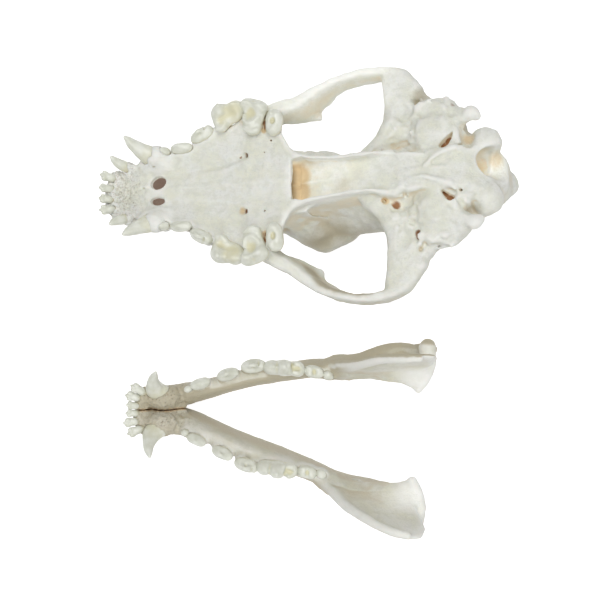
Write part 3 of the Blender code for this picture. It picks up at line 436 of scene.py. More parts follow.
# every kind of tooth: (shape, blend)
TEETH = {
    "upper_canine": [
        (spike([(3.4, -0.6, -9, 3.0, 3.6), (1.6, -0.2, -3, 4.0, 5.2), (0.2, 0, 1.5, 3.9, 4.8),
                (-0.5, 0.2, 6, 3.3, 3.7), (-0.6, 0.2, 10.5, 2.5, 2.7), (-0.2, 0, 13.6, 1.7, 1.8),
                (0, 0, 15.4, 0.9, 0.9)]), 0)],
    "lower_canine": [
        (spike([(4.5, -1, -9, 3.0, 4.0), (2.2, -0.4, -2.5, 3.8, 5.4), (-0.8, 0, 2.5, 3.7, 4.9),
                (-1.6, 0, 7.5, 3.0, 3.5), (-1.3, 0, 12.5, 2.2, 2.4), (-0.4, 0, 16.0, 1.4, 1.5),
                (0.2, 0, 18.0, 0.8, 0.8)]), 0)],
    "upper_i3": [
        (spike([(1.6, 0, -6, 1.5, 1.9), (0.7, 0, -1, 2.1, 2.5), (0, 0, 3, 2.2, 2.4),
                (-0.2, 0, 6.2, 1.8, 1.9), (0.1, 0, 8.6, 1.0, 1.0)]), 0),
        (lobe(1.3, -0.4, 2.0, 1.6, 1.8, 2.0), 1.0)],
    "upper_p1": [
        (lobe(0, 0, 0.6, 3.0, 2.2, 2.7), 0), (lobe(-0.3, 0.2, 2.2, 1.6, 1.3, 1.9), 0.9),
        (root(0, 0, 2.0, 1.5, 5), 0.6)],
    "lower_p1": [
        (lobe(0, 0, 0.5, 2.0, 1.6, 2.2), 0), (root(0, 0, 1.3, 1.1, 4.5), 0.6)],
    "upper_p4": [
        (lobe(-3.2, 0.6, 1.0, 4.7, 4.4, 4.6), 0),
        (limb([(-3.8, 0.9, 2.6, 2.6), (-2.4, 1.6, 7.0, 0.9)]), 2.4),
        (lobe(3.8, 1.0, 0.8, 4.0, 3.6, 4.2), 2.2),
        (limb([(-2.4, 1.6, 6.6, 0.8), (0.6, 1.7, 4.0, 0.8), (3.4, 1.6, 5.0, 0.8),
               (6.2, 1.2, 3.8, 0.8)]), 1.4),
        (lobe(-4.4, -4.4, 0.2, 3.0, 3.8, 2.6, 12), 3.0), (lobe(0.2, -1.0, -0.2, 6.8, 4.4, 2.6), 2.6),
        (limb([(-6.6, -6.6, 1.4, 0.7), (-4.2, -7.2, 1.8, 0.7), (-1.8, -5.4, 1.2, 0.7)]), 1.0),
        (root(-4.4, 0.2, 2.2, 2.2, 6), 0.8), (root(4.2, 0, 2.4, 2.1, 6), 0.8)],
    "upper_m1": [
        (lobe(-3.6, 4.9, 0.9, 3.5, 3.1, 3.9), 0), (lobe(3.0, 4.1, 0.8, 3.3, 3.0, 3.5), 0.8),
        (limb([(-5.6, 4.4, 2.8, 0.9), (-3.5, 4.9, 4.9, 0.9), (-0.4, 5.0, 3.2, 0.8)]), 1.2),
        (limb([(-0.4, 5.0, 3.2, 0.8), (3.0, 4.2, 4.3, 0.9), (5.2, 3.4, 2.6, 0.8)]), 1.2),
        (lobe(-0.2, 5.0, 0.2, 6.4, 3.4, 2.2), 1.6), (lobe(0.4, -0.4, 0.0, 5.2, 5.6, 2.6), 2.4),
        (lobe(1.6, -5.2, 0.2, 4.0, 3.2, 2.4, -12), 2.4),
        (limb([(-3.4, -0.6, 2.2, 0.8), (-1.8, -3.6, 2.6, 0.9), (1.6, -3.6, 2.6, 0.9),
               (3.6, -0.8, 2.2, 0.8)]), 1.0),
        (limb([(-1.6, -6.8, 1.6, 0.7), (1.8, -7.6, 1.6, 0.8), (4.4, -6.0, 1.4, 0.7)]), 1.0),
        (root(-2.8, 3.0, 2.1, 2.1, 6), 0.8), (root(2.8, 3.0, 2.1, 2.1, 6), 0.8),
        (root(1.0, -3.6, 2.2, 2.2, 6), 0.8)],
    "upper_m2": [
        (lobe(0, 2.8, 0.3, 3.8, 3.5, 2.8), 0), (lobe(0.3, -2.6, 0.2, 3.4, 3.6, 2.5), 3.0),
        (lobe(0.1, 0, 0.2, 3.5, 5.2, 2.4), 2.0),
        (lobe(-1.2, 3.6, 2.2, 1.3, 1.3, 1.4), 0.8), (lobe(1.4, 3.2, 2.0, 1.2, 1.2, 1.3), 0.8),
        (lobe(0.2, -3.8, 1.8, 1.8, 1.3, 1.3), 0.8),
        (root(0, 2.2, 2.4, 2.0, 5), 0.8), (root(0.4, -2.6, 1.8, 1.7, 5), 0.8)],
    "lower_m1": [
        (lobe(0, 0, 0.2, 9.7, 3.6, 2.6), 0), (lobe(-5.8, 0, 1.6, 4.0, 3.5, 4.6), 1.0),
        (limb([(-6.4, 0.2, 4, 1.6), (-4.6, 0.3, 6.2, 1.1)]), 1.2),
        (lobe(0.2, 0.3, 1.8, 4.4, 3.8, 6.0), 0.8),
        (limb([(-1.2, 0.4, 6, 1.7), (0.2, 0.4, 8.4, 1.0)]), 1.4),
        (lobe(2.6, -2.2, 3.2, 1.5, 1.3, 2.0), 0.9),
        (lobe(6.4, 0, 1.0, 3.6, 3.7, 3.0), 0.9), (lobe(5.8, 2.2, 2.6, 2.2, 1.3, 1.5), 0.7),
        (lobe(6.2, -2.2, 2.4, 2.2, 1.2, 1.4), 0.7),
        (root(-5.0, 0, 3.1, 2.2, 7), 0.8), (root(4.6, 0, 3.0, 2.2, 7), 0.8)],
    "lower_m2": [
        (lobe(0, 0, 0.7, 4.7, 3.1, 2.5), 0), (lobe(-2.0, 1.2, 2.2, 1.8, 1.5, 1.6), 0.9),
        (lobe(-2.0, -1.3, 2.0, 1.6, 1.3, 1.5), 0.9), (lobe(2.2, 0.9, 1.8, 1.6, 1.6, 1.4), 0.9),
        (root(-1.9, 0, 1.9, 1.8, 5.5), 0.7), (root(1.9, 0, 1.9, 1.8, 5.5), 0.7)],
    "lower_m3": [
        (lobe(0, 0, 0.6, 2.5, 2.3, 2.2), 0), (lobe(-0.4, 0.4, 1.8, 1.1, 1.1, 1.0), 0.8),
        (root(0, 0, 1.5, 1.5, 4.5), 0.6)]}

# size of the plain incisors against a common one
INCISORS = {"upper_i1": 1.08, "upper_i2": 1.24, "lower_i1": 0.98, "lower_i2": 1.14, "lower_i3": 1.24}
TEETH.update({kind: incisor(big) for kind, big in INCISORS.items()})

# half length, half width, height, and height of the heel cusp or 0
PREMOLARS = {"upper_p2": (5.3, 2.6, 5.0, 0), "upper_p3": (6.0, 3.1, 5.8, 2.7),
             "lower_p2": (4.8, 2.7, 4.8, 0), "lower_p3": (5.2, 3.0, 5.6, 2.6),
             "lower_p4": (6.0, 3.4, 6.6, 3.2)}
TEETH.update({kind: premolar(*sizes) for kind, sizes in PREMOLARS.items()})

# grinding basins and the clefts between cusps: (shape, blend)
HOLLOWS_IN_TEETH = {
    "upper_p4": [(limb([(0.8, 5.8, 0.5, 0.6), (0.7, 3.6, 5.6, 0.7)]), 0.7),
                 (limb([(-3.4, -4.0, 3.9, 1.3), (-0.6, -3.2, 4.2, 1.5), (2.6, -3.0, 4.0, 1.3)]), 1.6)],
    "upper_m1": [(lobe(-0.2, 0.6, 3.9, 2.5, 2.1, 2.0), 1.2),
                 (limb([(-0.4, 8.2, 1.6, 0.6), (-0.4, 5.6, 4.4, 0.6)]), 0.8),
                 (limb([(-2.2, -5.6, 2.9, 0.45), (1.6, -6.0, 3.0, 0.5), (4.4, -4.2, 2.6, 0.4)]), 0.8)],
    "upper_m2": [(lobe(0.1, -0.1, 3.2, 1.2, 1.7, 1.5), 0.8)],
    "lower_m1": [(lobe(6.2, 0, 3.9, 2.4, 1.2, 1.2), 0.7),
                 (limb([(-3.3, 4.2, 3, 0.7), (-3.3, 0, 6.9, 0.7), (-3.3, -4, 3, 0.7)]), 0.9),
                 (limb([(3.9, 4.4, 1.6, 0.7), (3.9, 0.6, 5.0, 0.9)]), 0.9)],
    "lower_m2": [(lobe(0.1, 0, 3.0, 0.9, 1.8, 0.9), 0.8)],
    "lower_p4": [(limb([(3.2, 3.6, 1.4, 0.5), (2.6, 0, 3.9, 0.5)]), 0.6)],
    "upper_p3": [(limb([(3.0, 3.4, 1.4, 0.5), (2.6, 0, 3.4, 0.5)]), 0.6)]}

# where the roots of each tooth swell the bone round them: (x, y, radius along, radius across, depth)
ROOTS = {
    "upper_canine": [(2.2, -0.6, 4.9, 3.9, 14)], "lower_canine": [(3.0, -0.6, 5.4, 3.8, 12)],
    "upper_i1": [(0, -0.6, 1.7, 1.7, 8)], "upper_i2": [(0, -0.6, 1.8, 1.8, 8)],
    "upper_i3": [(1.2, 0, 2.2, 2.0, 9)], "lower_i1": [(0, -0.6, 1.2, 1.3, 7)],
    "lower_i2": [(0, -0.6, 1.4, 1.4, 7)], "lower_i3": [(0.5, -0.5, 1.7, 1.6, 8)],
    "upper_p1": [(0, 0, 2.1, 1.4, 6)], "lower_p1": [(0, 0, 1.5, 1.2, 5)],
    "upper_p2": [(-2.5, 0, 1.9, 1.5, 7), (2.5, 0, 2.0, 1.5, 7)],
    "lower_p2": [(-2.3, 0, 1.8, 1.4, 7), (2.3, 0, 1.8, 1.4, 7)],
    "upper_p3": [(-2.9, 0, 2.0, 1.7, 8), (2.9, 0, 2.1, 1.7, 8)],
    "lower_p3": [(-2.5, 0, 1.9, 1.5, 8), (2.5, 0, 1.9, 1.5, 8)],
    "lower_p4": [(-2.9, 0, 2.0, 1.7, 8), (2.9, 0, 2.1, 1.7, 8)],
    "upper_p4": [(-4.4, 0, 2.5, 2.2, 10), (4.2, 0, 2.6, 2.2, 10), (-4.0, -4.4, 1.9, 1.6, 7)],
    "upper_m1": [(-3.0, 3.0, 2.3, 2.0, 8), (2.8, 2.8, 2.2, 2.0, 8), (1.4, -3.6, 2.6, 2.0, 6)],
    "upper_m2": [(-1.1, 2.2, 1.7, 1.4, 4), (1.0, 2.0, 1.6, 1.4, 4), (0.4, -2.4, 1.8, 1.5, 4)],
    "lower_m1": [(-4.8, 0, 3.3, 2.3, 11), (4.6, 0, 3.1, 2.3, 11)],
    "lower_m2": [(-1.9, 0, 2.0, 1.8, 8), (1.9, 0, 2.0, 1.8, 8)], "lower_m3": [(0, 0, 1.8, 1.6, 6)]}

# kind, place of the neck on the skull, turn of the row, and the way the crown points
UPPER_ROW = [
    ("upper_i1", (-1.2, 2.5, -1.0), 98, (-3.0, 0.1, 8)),
    ("upper_i2", (0.2, 7.6, -1.0), 84, (-3.4, 1.0, 8)),
    ("upper_i3", (7.0, 12.0, -0.6), 50, (-4.0, 4.3, 8)),
    ("upper_canine", (21.2, 15.6, 1.2), 16, (-7.4, 7.2, 12)),
    ("upper_p1", (28.1, 17.5, 0.4), 3, (0, 0.1, 1)),
    ("upper_p2", (36.9, 18.4, 0.4), 2, (0, 0.1, 1)),
    ("upper_p3", (47.2, 23.8, 0.5), 27, (0, 0.12, 1)),
    ("upper_p4", (60.4, 32.4, 0.6), 12, (0, 0.12, 1)),
    ("upper_m1", (72.0, 29.6, 0.4), -14, (0, 0.08, 1)),
    ("upper_m2", (82.2, 26.1, 0.2), -6, (0, 0.05, 1))]
LOWER_ROW = [
    ("lower_i1", (-3.0, 1.7, 21.6), 96, (-6, 0.3, 6)),
    ("lower_i2", (-2.8, 5.6, 21.8), 86, (-6.2, 1.2, 6)),
    ("lower_i3", (-0.4, 8.9, 22.4), 62, (-6.5, 3.2, 6.4)),
    ("lower_canine", (7.0, 8.6, 23.0), 4, (0, 11, 15)),
    ("lower_p1", (21.2, 10.2, 24.2), 22, (0, 0.14, 1)),
    ("lower_p2", (26.8, 13.2, 25.0), 23, (0, 0.16, 1)),
    ("lower_p3", (39.4, 18.5, 25.2), 22, (0, 0.16, 1)),
    ("lower_p4", (51.2, 23.3, 25.4), 12, (0, 0.16, 1)),
    ("lower_m1", (65.6, 23.6, 25.6), 2, (0, 0.12, 1)),
    ("lower_m2", (79.9, 23.5, 25.6), 0, (0, 0.06, 1)),
    ("lower_m3", (86.7, 23.3, 25.8), -2, (0, 0, 1))]

# The cranium lies on its roof, so its left side is at +v; the jaw stands upright, so its left is at -v.
SIDES = {"upper": ((-1, "right"), (1, "left")), "lower": ((-1, "left"), (1, "right"))}


def tooth_frame(row):
    """Turn of a tooth on the v > 0 side; columns are its own x, y, z in skull axes."""
    z = np.array(row[3], float)
    z /= np.linalg.norm(z)
    along = math.radians(row[2])
    x = np.array([math.cos(along), math.sin(along), 0.0])
    x -= z * (x @ z)
    x /= np.linalg.norm(x)
    return np.array([x, np.cross(z, x), z]).T


def socket_bone(kind):
    """Bone that closes round the roots of a tooth, in the tooth's own axes."""
    shapes = []
    for x, y, along, across, depth in ROOTS[kind]:
        shapes.append((spike([(x, y, -0.9, across + 0.8, along + 0.8),
                              (x, y, -depth * 0.6, across + 0.7, along + 0.7),
                              (x, y, -depth, across * 0.7, along * 0.7)]), 1.5))
    return together(shapes)


def set_teeth(block, rows):
    """Swell the bone round every root, then open the socket that the tooth stands in."""
    for row in rows:
        block.join(placed(socket_bone(row[0]), tooth_frame(row), np.array(row[1])), ROOT_SWELL)
    for row in rows:
        socket = together(TEETH[row[0]], SOCKET_GAP)
        block.carve(placed(socket, tooth_frame(row), np.array(row[1])), SOCKET_EDGE)


# Cranium

MUZZLE_WIDTH = curve([-2, 3, 7, 11, 15, 20, 26, 33, 41, 47, 53, 58, 63, 69, 75, 81, 87, 92],
                     [9, 11.6, 12.4, 12.0, 13.4, 15.2, 15.8, 16.4, 18.4, 21.6, 25.4, 29, 31.6, 33,
                      32.4, 30.0, 26, 21])
MUZZLE_TOP = curve([-2, 0, 4, 9, 13, 20, 30, 45, 56, 70, 78, 84, 92, 100],
                   [0, -4, -11, -18, -23, -25, -27, -30, -32, -36, -39, -42.5, -47.5, -52])
BRIDGE_WIDTH = curve([-2, 6, 13, 22, 40, 56, 70, 80, 90], [6, 7, 7.5, 9, 10, 12, 14, 15.5, 18])
PALATE_END = curve([0, 8.6, 10.6, 13.4, 16.4, 21, 26.8, 34], [97, 97, 94, 89.4, 88.0, 85.6, 83.6, 80])
CASE_WIDTH = curve([80, 90, 100, 110, 120, 130, 140, 150, 160, 170, 178, 184],
                   [16, 18.5, 20.0, 20.3, 20.5, 23, 26.5, 27, 23.5, 16.5, 11, 7])
CASE_TOP = curve([80, 90, 100, 110, 120, 135, 150, 160, 170, 178, 184],
                 [-40, -46.5, -52, -54, -53.5, -53.5, -54, -54, -52.5, -49, -45])
CASE_FLOOR = curve([80, 90, 100, 110, 120, 130, 140, 150, 160, 170, 178, 184],
                   [-18, -18, -17, -16, -14, -12, -9.5, -8.5, -8.5, -11, -16, -24])
KEEL_WIDTH = curve([82, 88, 92, 96, 102, 110, 118, 126, 131, 136, 141],
                   [16.6, 14.2, 12.2, 10.8, 9.9, 9.3, 8.9, 9.1, 9.8, 10.4, 11])
KEEL_EDGE = curve([82, 90, 100, 108, 116, 123, 127, 131, 136, 142],
                  [-3, -3, -3.2, -3, -1.8, -0.8, -1.2, -4.2, -6.5, -8])
ROOF = curve([70, 88, 95, 105, 115, 125, 135, 145],
             [-16, -13.8, -12.2, -9.6, -7.4, -6.2, -5.6, -5.2])
BASE_FLOOR = curve([100, 112, 122, 132, 145, 156, 163, 169, 174],
                   [-14.5, -12, -9, -5.6, -5.0, -5.8, -7.4, -10.6, -13])
WALL = 1.5


def muzzle(u, v, w):
    """Muzzle and palate, narrower towards the bridge of the nose."""
    top = MUZZLE_TOP(u) + 0.022 * v * v
    floor = -2.3 + 2.6 * np.clip(v / MUZZLE_WIDTH(u), 0, 1.2) ** 3
    s = np.clip((floor - w) / np.maximum(floor - top, 1.0), 0, 1)
    bend = np.interp(u, [20, 45, 62], [1.1, 1.5, 2.4])
    half = BRIDGE_WIDTH(u) + (MUZZLE_WIDTH(u) - BRIDGE_WIDTH(u)) * (1 - s) ** bend
    body = high_blend(v - half, top - w, 9.0)
    body = high_blend(body, w - floor, 1.6)
    body = high_blend(body, 0.058 * v * v - 1.8 - u, 3.0)
    slope = 0.36 * np.clip(w + 2.5, -26, 0) * np.clip((v - 10) / 5, 0, 1)
    back = np.where(w > -8, PALATE_END(v), np.where(v > 14, PALATE_END(v), 96.0)) + slope
    return high_blend(body, u - back, 2.0)


def braincase(inset, back=182):
    def rule(u, v, w):
        top = CASE_TOP(u) + inset
        floor = CASE_FLOOR(u) - inset
        mid = (top + floor) / 2
        s = np.clip((w - top) / (floor - top), 0, 1)
        pinch = np.interp(u, [100, 135], [0.42, 0.0])
        half = (CASE_WIDTH(u) - inset) * (1 - pinch * s ** 1.6)
        k = (np.abs(v / half) ** 2.3 + np.abs((w - mid) / ((floor - top) / 2)) ** 2.3) ** (1 / 2.3)
        ends = high_blend((84 + inset - u) / 12, (u - back + inset) / 12, 0.1)
        return high_blend(k - 1, ends, 0.35)
    return rule


def keel(u, v, w):
    """Walls on both sides of the nose passage, behind the palate."""
    half = KEEL_WIDTH(u) + 0.12 * np.clip(-5 - w, 0, 25)
    body = high_blend(v - half, w - KEEL_EDGE(u), 1.2)
    body = high_blend(body, np.maximum(80 - u, u - 141.5), 3.0)
    return high_blend(body, -34 - w, 2.0)


def channel(wall):
    """Hollow of the nose passage between its side walls, with a ridge along its roof."""
    def rule(u, v, w):
        half = KEEL_WIDTH(u) - wall + 0.05 * np.clip(-5 - w, 0, 12)
        half = np.minimum(half, np.interp(u, [60, 86, 92, 98], [7, 8.4, 9.4, 11]))
        roof = ROOF(u) + np.exp(-(v / 1.0) ** 2) * np.interp(u, [88, 100, 130], [1.8, 0.8, 0])
        roof -= 3.0 * ramp(u, 90.4, -0.8)
        body = high_blend(v - half, roof - w, 3.4)
        body = high_blend(body, np.where(u < 89.2, w + 5.0, w - 12), 0.5)
        return high_blend(body, np.maximum(66 - u, u - 140), 6.0)
    return rule


def nasal_cavity(wall):
    def rule(u, v, w):
        top = MUZZLE_TOP(np.maximum(u, 12)) + wall + 1.2
        half = np.interp(u, [0, 10, 30, 45, 60, 75], [7.4, 7.6, 8.2, 9.5, 11.5, 12])
        half = half * np.interp(w - top, [0, 14], [0.72, 1.0])
        body = high_blend(v - half, top + 0.03 * v * v - w, 4.0)
        body = high_blend(body, w + 5.6, 3.0)
        return high_blend(body, u - 84, 6.0)
    return rule


def crest(u, v, w):
    top = np.interp(u, [108, 118, 130, 148, 166, 178, 184, 187],
                    [-54, -56.5, -58.5, -60, -60, -58, -55, -50])
    thick = 1.1 + 0.10 * np.clip(w - top, 0, 14)
    body = high_blend(v - thick, top - w, 1.6)
    back = u - np.interp(w, [-58, -50, -44, -34], [181, 184.6, 182.4, 174])
    return high_blend(high_blend(body, back, 2.0), np.maximum(106 - u, w + 34), 2.0)


def base_plate(u, v, w):
    half = np.interp(u, [100, 130, 142, 150, 160, 168, 174], [6, 9, 9, 8.6, 9.6, 11, 12])
    ridge = 0.9 * np.exp(-(v / 1.3) ** 2) * np.interp(u, [135, 150, 166], [0, 1, 0.4])
    floor = BASE_FLOOR(u) + 0.012 * v * v + ridge
    body = high_blend(v - half, w - floor, 3.0)
    return high_blend(body, np.maximum(np.maximum(98 - u, u - 169.5), -20 - w), 2.4)


def main_bone(b):
    """Muzzle, braincase, passage walls, base and crest."""
    b.join(form((-4, 0, -56), (98, 36, 3), muzzle))
    b.join(form((80, 0, -58), (188, 30, -4), braincase(0)), 5.0)
    b.join(form((80, 0, -38), (143, 22, -1), keel), 2.4)
    b.join(form((96, 0, -24), (177, 14, -3), base_plate), 3.0)
    b.join(form((104, 0, -63), (190, 4, -32), crest), 4.0)


def cheek_bone(b):
    """Frame of the eye socket, root of the canine and edge of the incisors."""
    # roof over the eye and the front rim of its socket
    b.join(limb([(97, 14, -47, 6), (92.4, 18.6, -45.8, 4.4)]), 5.0)
    b.join(limb([(92, 22, -47, 1.6), (101, 15, -53, 1.7), (112, 6, -56, 1.7),
                 (122, 1, -57.5, 1.6)]), 3.0)
    b.join(limb([(69, 28, -9, 5), (68, 24, -18, 4.4), (69, 17.5, -28, 4), (73, 13.4, -37, 3.6),
                 (79, 16.4, -41, 3.0), (86, 19.6, -42.4, 3.4), (91, 21.8, -43, 3.0),
                 (97, 20.6, -44.4, 3.4), (104, 16.8, -47, 3.4)]), 5.0)
    b.join(ball((88, 13, -36), (10, 9, 10)), 4.0)
    b.join(limb([(19, 13.2, -2, 4.0), (25, 11.6, -13, 4.4), (33, 9.8, -20, 3.4)]), 4.0)
    # ridge of bone that holds the upper incisors
    b.join(limb([(-1.6, 0, -2.6, 2.7), (-1.2, 5.4, -2.7, 2.7), (1.8, 9.6, -2.8, 2.6)]), 2.4)


def cheek_arch(b):
    """Arch from the muzzle to the jaw joint, leaning in at its upper edge where it rims the orbit."""
    b.join(band([(69, 28, -8, 4.4, 6.6, 0), (80, 34.4, -12, 3.8, 7.4, -4),
                 (87, 37.4, -15.6, 3.4, 8.2, -8), (93, 41.2, -17.6, 3.0, 8.2, -8),
                 (100, 46.1, -18.4, 2.4, 7.8, -6), (110, 50.1, -18.6, 2.1, 7.6, 0),
                 (120, 51.5, -18.2, 2.2, 7.0, 0), (130, 50.4, -17, 2.6, 6.2, 0),
                 (137, 46.9, -16, 3.2, 5.6, 0), (143, 40.2, -15.2, 3.4, 4.6, 0)], (0, 0, 1), 3.4), 2.6)
    b.join(limb([(84, 36.4, -20, 3.6), (91, 37.4, -24.5, 2.8), (95.2, 37.4, -26.5, 1.9)]), 3.0)
    b.join(limb([(94, 41.4, -25, 2.2), (101, 46.4, -24.4, 1.8)]), 3.0)


def ear_bone(b):
    """Jaw joint, ear capsule and the back of the head."""
    # jaw joint, with its root running back over the ear
    b.join(limb([(133, 21, -13, 4.6), (129.4, 16, -12.6, 4.4), (123.5, 11, -12, 3.8)]), 4.0)
    b.join(band([(137.4, 20, -14, 5, 8, 0), (137.4, 30, -13.4, 4.6, 7.4, 0),
                 (136.4, 39, -14, 4.4, 6.8, 0), (134.4, 46, -15, 3.8, 5.8, 0)], (1, 0, 0), 2.6), 4.0)
    b.join(band([(138, 44, -16, 3.8, 4.6, 0), (143.4, 37.4, -16, 3.8, 4.6, 0),
                 (149, 31.6, -17, 3.4, 4.6, 0), (156, 27.6, -18, 3.4, 5.0, 0)], (0, 0, 1)), 3.0)
    b.join(limb([(144, 25, -10.4, 1.2), (145.2, 28, -8.8, 1.3), (145.6, 31, -10.6, 1.1)]), 2.4)
    b.join(ball((154.5, 23.6, -19), (10.5, 8.0, 9)), 3.0)
    # ridge of the back of the head, down to the knob behind the ear
    b.join(limb([(181.4, 1.5, -47, 2.6), (175.6, 6.4, -42.5, 2.4), (170.8, 11.2, -35.5, 2.4),
                 (165.6, 15.6, -29, 2.4), (160.6, 21.6, -22.5, 2.4), (158.4, 27.6, -17, 2.6)]), 4.0)
    b.join(limb([(158.6, 27.0, -17, 3.2), (158.2, 30.4, -14.6, 2.8), (157.6, 30.8, -12.2, 2.0)]), 2.0)
    # ear capsule, nearly flat, and the rough rim of the ear hole on its outer side
    b.join(ball((152.4, 17.2, -12.8), (11.6, 9.8, 8.2), (0, 0, 14)), 2.4)
    b.join(ball((152, 27.6, -14), (8.6, 4.6, 6.4)), 2.4)
    b.join(limb([(147.2, 28.4, -10.4, 1.6), (151, 30.0, -9.6, 1.5), (156.4, 28.4, -9.4, 1.7)]), 2.0)
    # back of the head: condyles round the spinal opening, and the knobs beside the bulla
    b.join(ball((165.5, 0, -30), (12, 14, 18)), 4.0)
    b.join(limb([(158, 3.4, -9.4, 2.6), (164.5, 6.2, -12.4, 3.8), (169.0, 8.8, -14.8, 4.8),
                 (172.4, 10.8, -17, 5.6)]), 2.0)
    b.join(ball((173.2, 12.2, -18.6), (7.2, 7.5, 7.2), (0, 0, -20)), 1.6)
    b.join(limb([(173.2, 11.6, -20, 5.6), (173, 9.6, -27, 4.2)]), 3.0)
    b.join(ball((162.6, 13.0, -12.8), (5.2, 5.4, 5.0), (0, 0, 30)), 2.0)
    b.join(ball((162.4, 24.6, -14.4), (4.6, 3.8, 5.2)), 2.4)
    b.join(limb([(160.6, 20.8, -13, 3.6), (165.4, 22.6, -10.6, 3.0), (168.6, 23.8, -9.8, 3.2),
                 (170.4, 22.8, -10.6, 2.4)]), 1.6)


def hollows(b):
    """Eye socket, temple, braincase, nose, passage and the hollow behind the jaw joint."""
    b.carve(ball((99, 38, -25), (16.5, 15.5, 14)), 2.0)
    b.carve(ball((113, 31.5, -24), (17, 14, 30)), 1.6)
    b.carve(form((108, 0, -52), (184, 26, -12), braincase(WALL + 3.2, 166)), 1.5)
    b.carve(form((-8, 0, -50), (88, 14, -4), nasal_cavity(WALL)), 1.5)
    b.carve(form((64, 0, -20), (143, 10, 8), channel(WALL)), 0.5)
    b.carve(ball((138.4, 28, -4.2), (5.2, 6.8, 6.8), (0, 0, 6)), 0.7)
    b.carve(limb([(62, 18, -17, 2.2), (54, 27, -14, 2.6)]), 1.0)


# blood and nerve openings on both sides: shape and blend
OPENINGS = [
    (limb([(67.0, 13.0, -1.4, 0.9), (69.5, 13.4, -6, 0.9)]), 0.5),
    (limb([(76.2, 13.4, -1.2, 0.6), (77.4, 13.8, -5, 0.5)]), 0.3),
    (band([(156.0, 10.0, -8.6, 1.0, 3.4, 0), (158.4, 12.6, -8.8, 1.35, 3.4, 0),
           (160.4, 15.2, -9.4, 0.7, 2.6, 0)], (0, 0, 1)), 0.5),
    (limb([(163.2, 10.4, -7, 0.7), (164.4, 9.2, -11, 0.7)]), 0.4),
    (limb([(152.4, 33, -16, 1.7), (152, 27, -16.5, 1.5)]), 0.8)]

# what only the animal's left (v > 0) or right (v < 0) shows: shape and blend
LEFT_HOLLOWS = [
    (ball((23.2, 3.9, -3), (4.0, 3.0, 8), (0, 0, 8)), 0.5),
    (limb([(126, 10.6, -8.6, 1.0), (135.1, 13.6, -8.2, 1.0)]), 0.8),
    (ball((138.4, 10.2, -6.6), (3.0, 1.7, 1.8), (0, 0, 20)), 0.8),
    (limb([(141, 8.6, -6.3, 0.9), (148.4, 7.8, -5.5, 0.8)]), 0.6),
    (ball((166.6, 14.0, -9.6), (3.0, 5.4, 4.4), (0, 0, 10)), 2.0),
    (limb([(79.7, 18.7, -1.2, 0.5), (79.9, 18.7, -4, 0.4)]), 0.3),
    (limb([(52.5, 23.4, -0.6, 0.4), (52.6, 23.4, -3, 0.4)]), 0.3),
    (limb([(63.6, 13.9, -1.6, 0.4), (65.2, 11.5, -2.4, 0.5)]), 0.3),
    (band([(152.6, 2.2, -4.6, 1.2, 0.8, 0), (157.5, 3.8, -4.9, 2.0, 1.1, 0),
           (164, 6.2, -6.6, 1.0, 0.8, 0)], (0, 0, 1)), 0.8),
    (limb([(15.6, 1.9, -1, 0.45), (15.8, 2.0, -4, 0.4)]), 0.2)]
RIGHT_HOLLOWS = [
    (ball((23.0, -4.8, -3), (3.9, 1.9, 8), (0, 0, -6)), 0.5),
    (ball((23.0, -3.0, -1.4), (4.2, 1.4, 1.6)), 0.8),
    (ball((66.0, -12.8, -1.8), (1.9, 0.9, 1.3), (0, 0, 20)), 0.6),
    (limb([(130.4, -11.6, -8, 1.1), (128, -12, -14, 1.1)]), 0.4),
    (band([(134.0, -13.0, -9, 1.3, 3.0, 0), (135.8, -14.6, -9, 1.4, 3.0, 0)], (0, 0, 1)), 0.5),
    (limb([(138.9, -9.9, -5, 0.8), (139.4, -10.2, -9, 0.8)]), 0.3),
    (limb([(144.6, -25.0, -8, 0.7), (144.8, -27.6, -10, 1.1)]), 0.4),
    (band([(140.5, -6.2, -4.2, 1.2, 0.8, 0), (146, -5.6, -4.0, 1.8, 0.8, 0),
           (151.4, -7.2, -4.8, 1.0, 0.6, 0)], (0, 0, 1)), 1.2),
    (limb([(169.2, -14.6, -12.4, 0.6), (170.8, -18.6, -13, 0.7)]), 0.5),
    (limb([(153.6, -26.0, -10, 1.2), (154.4, -28.6, -11, 1.3)]), 0.8)]


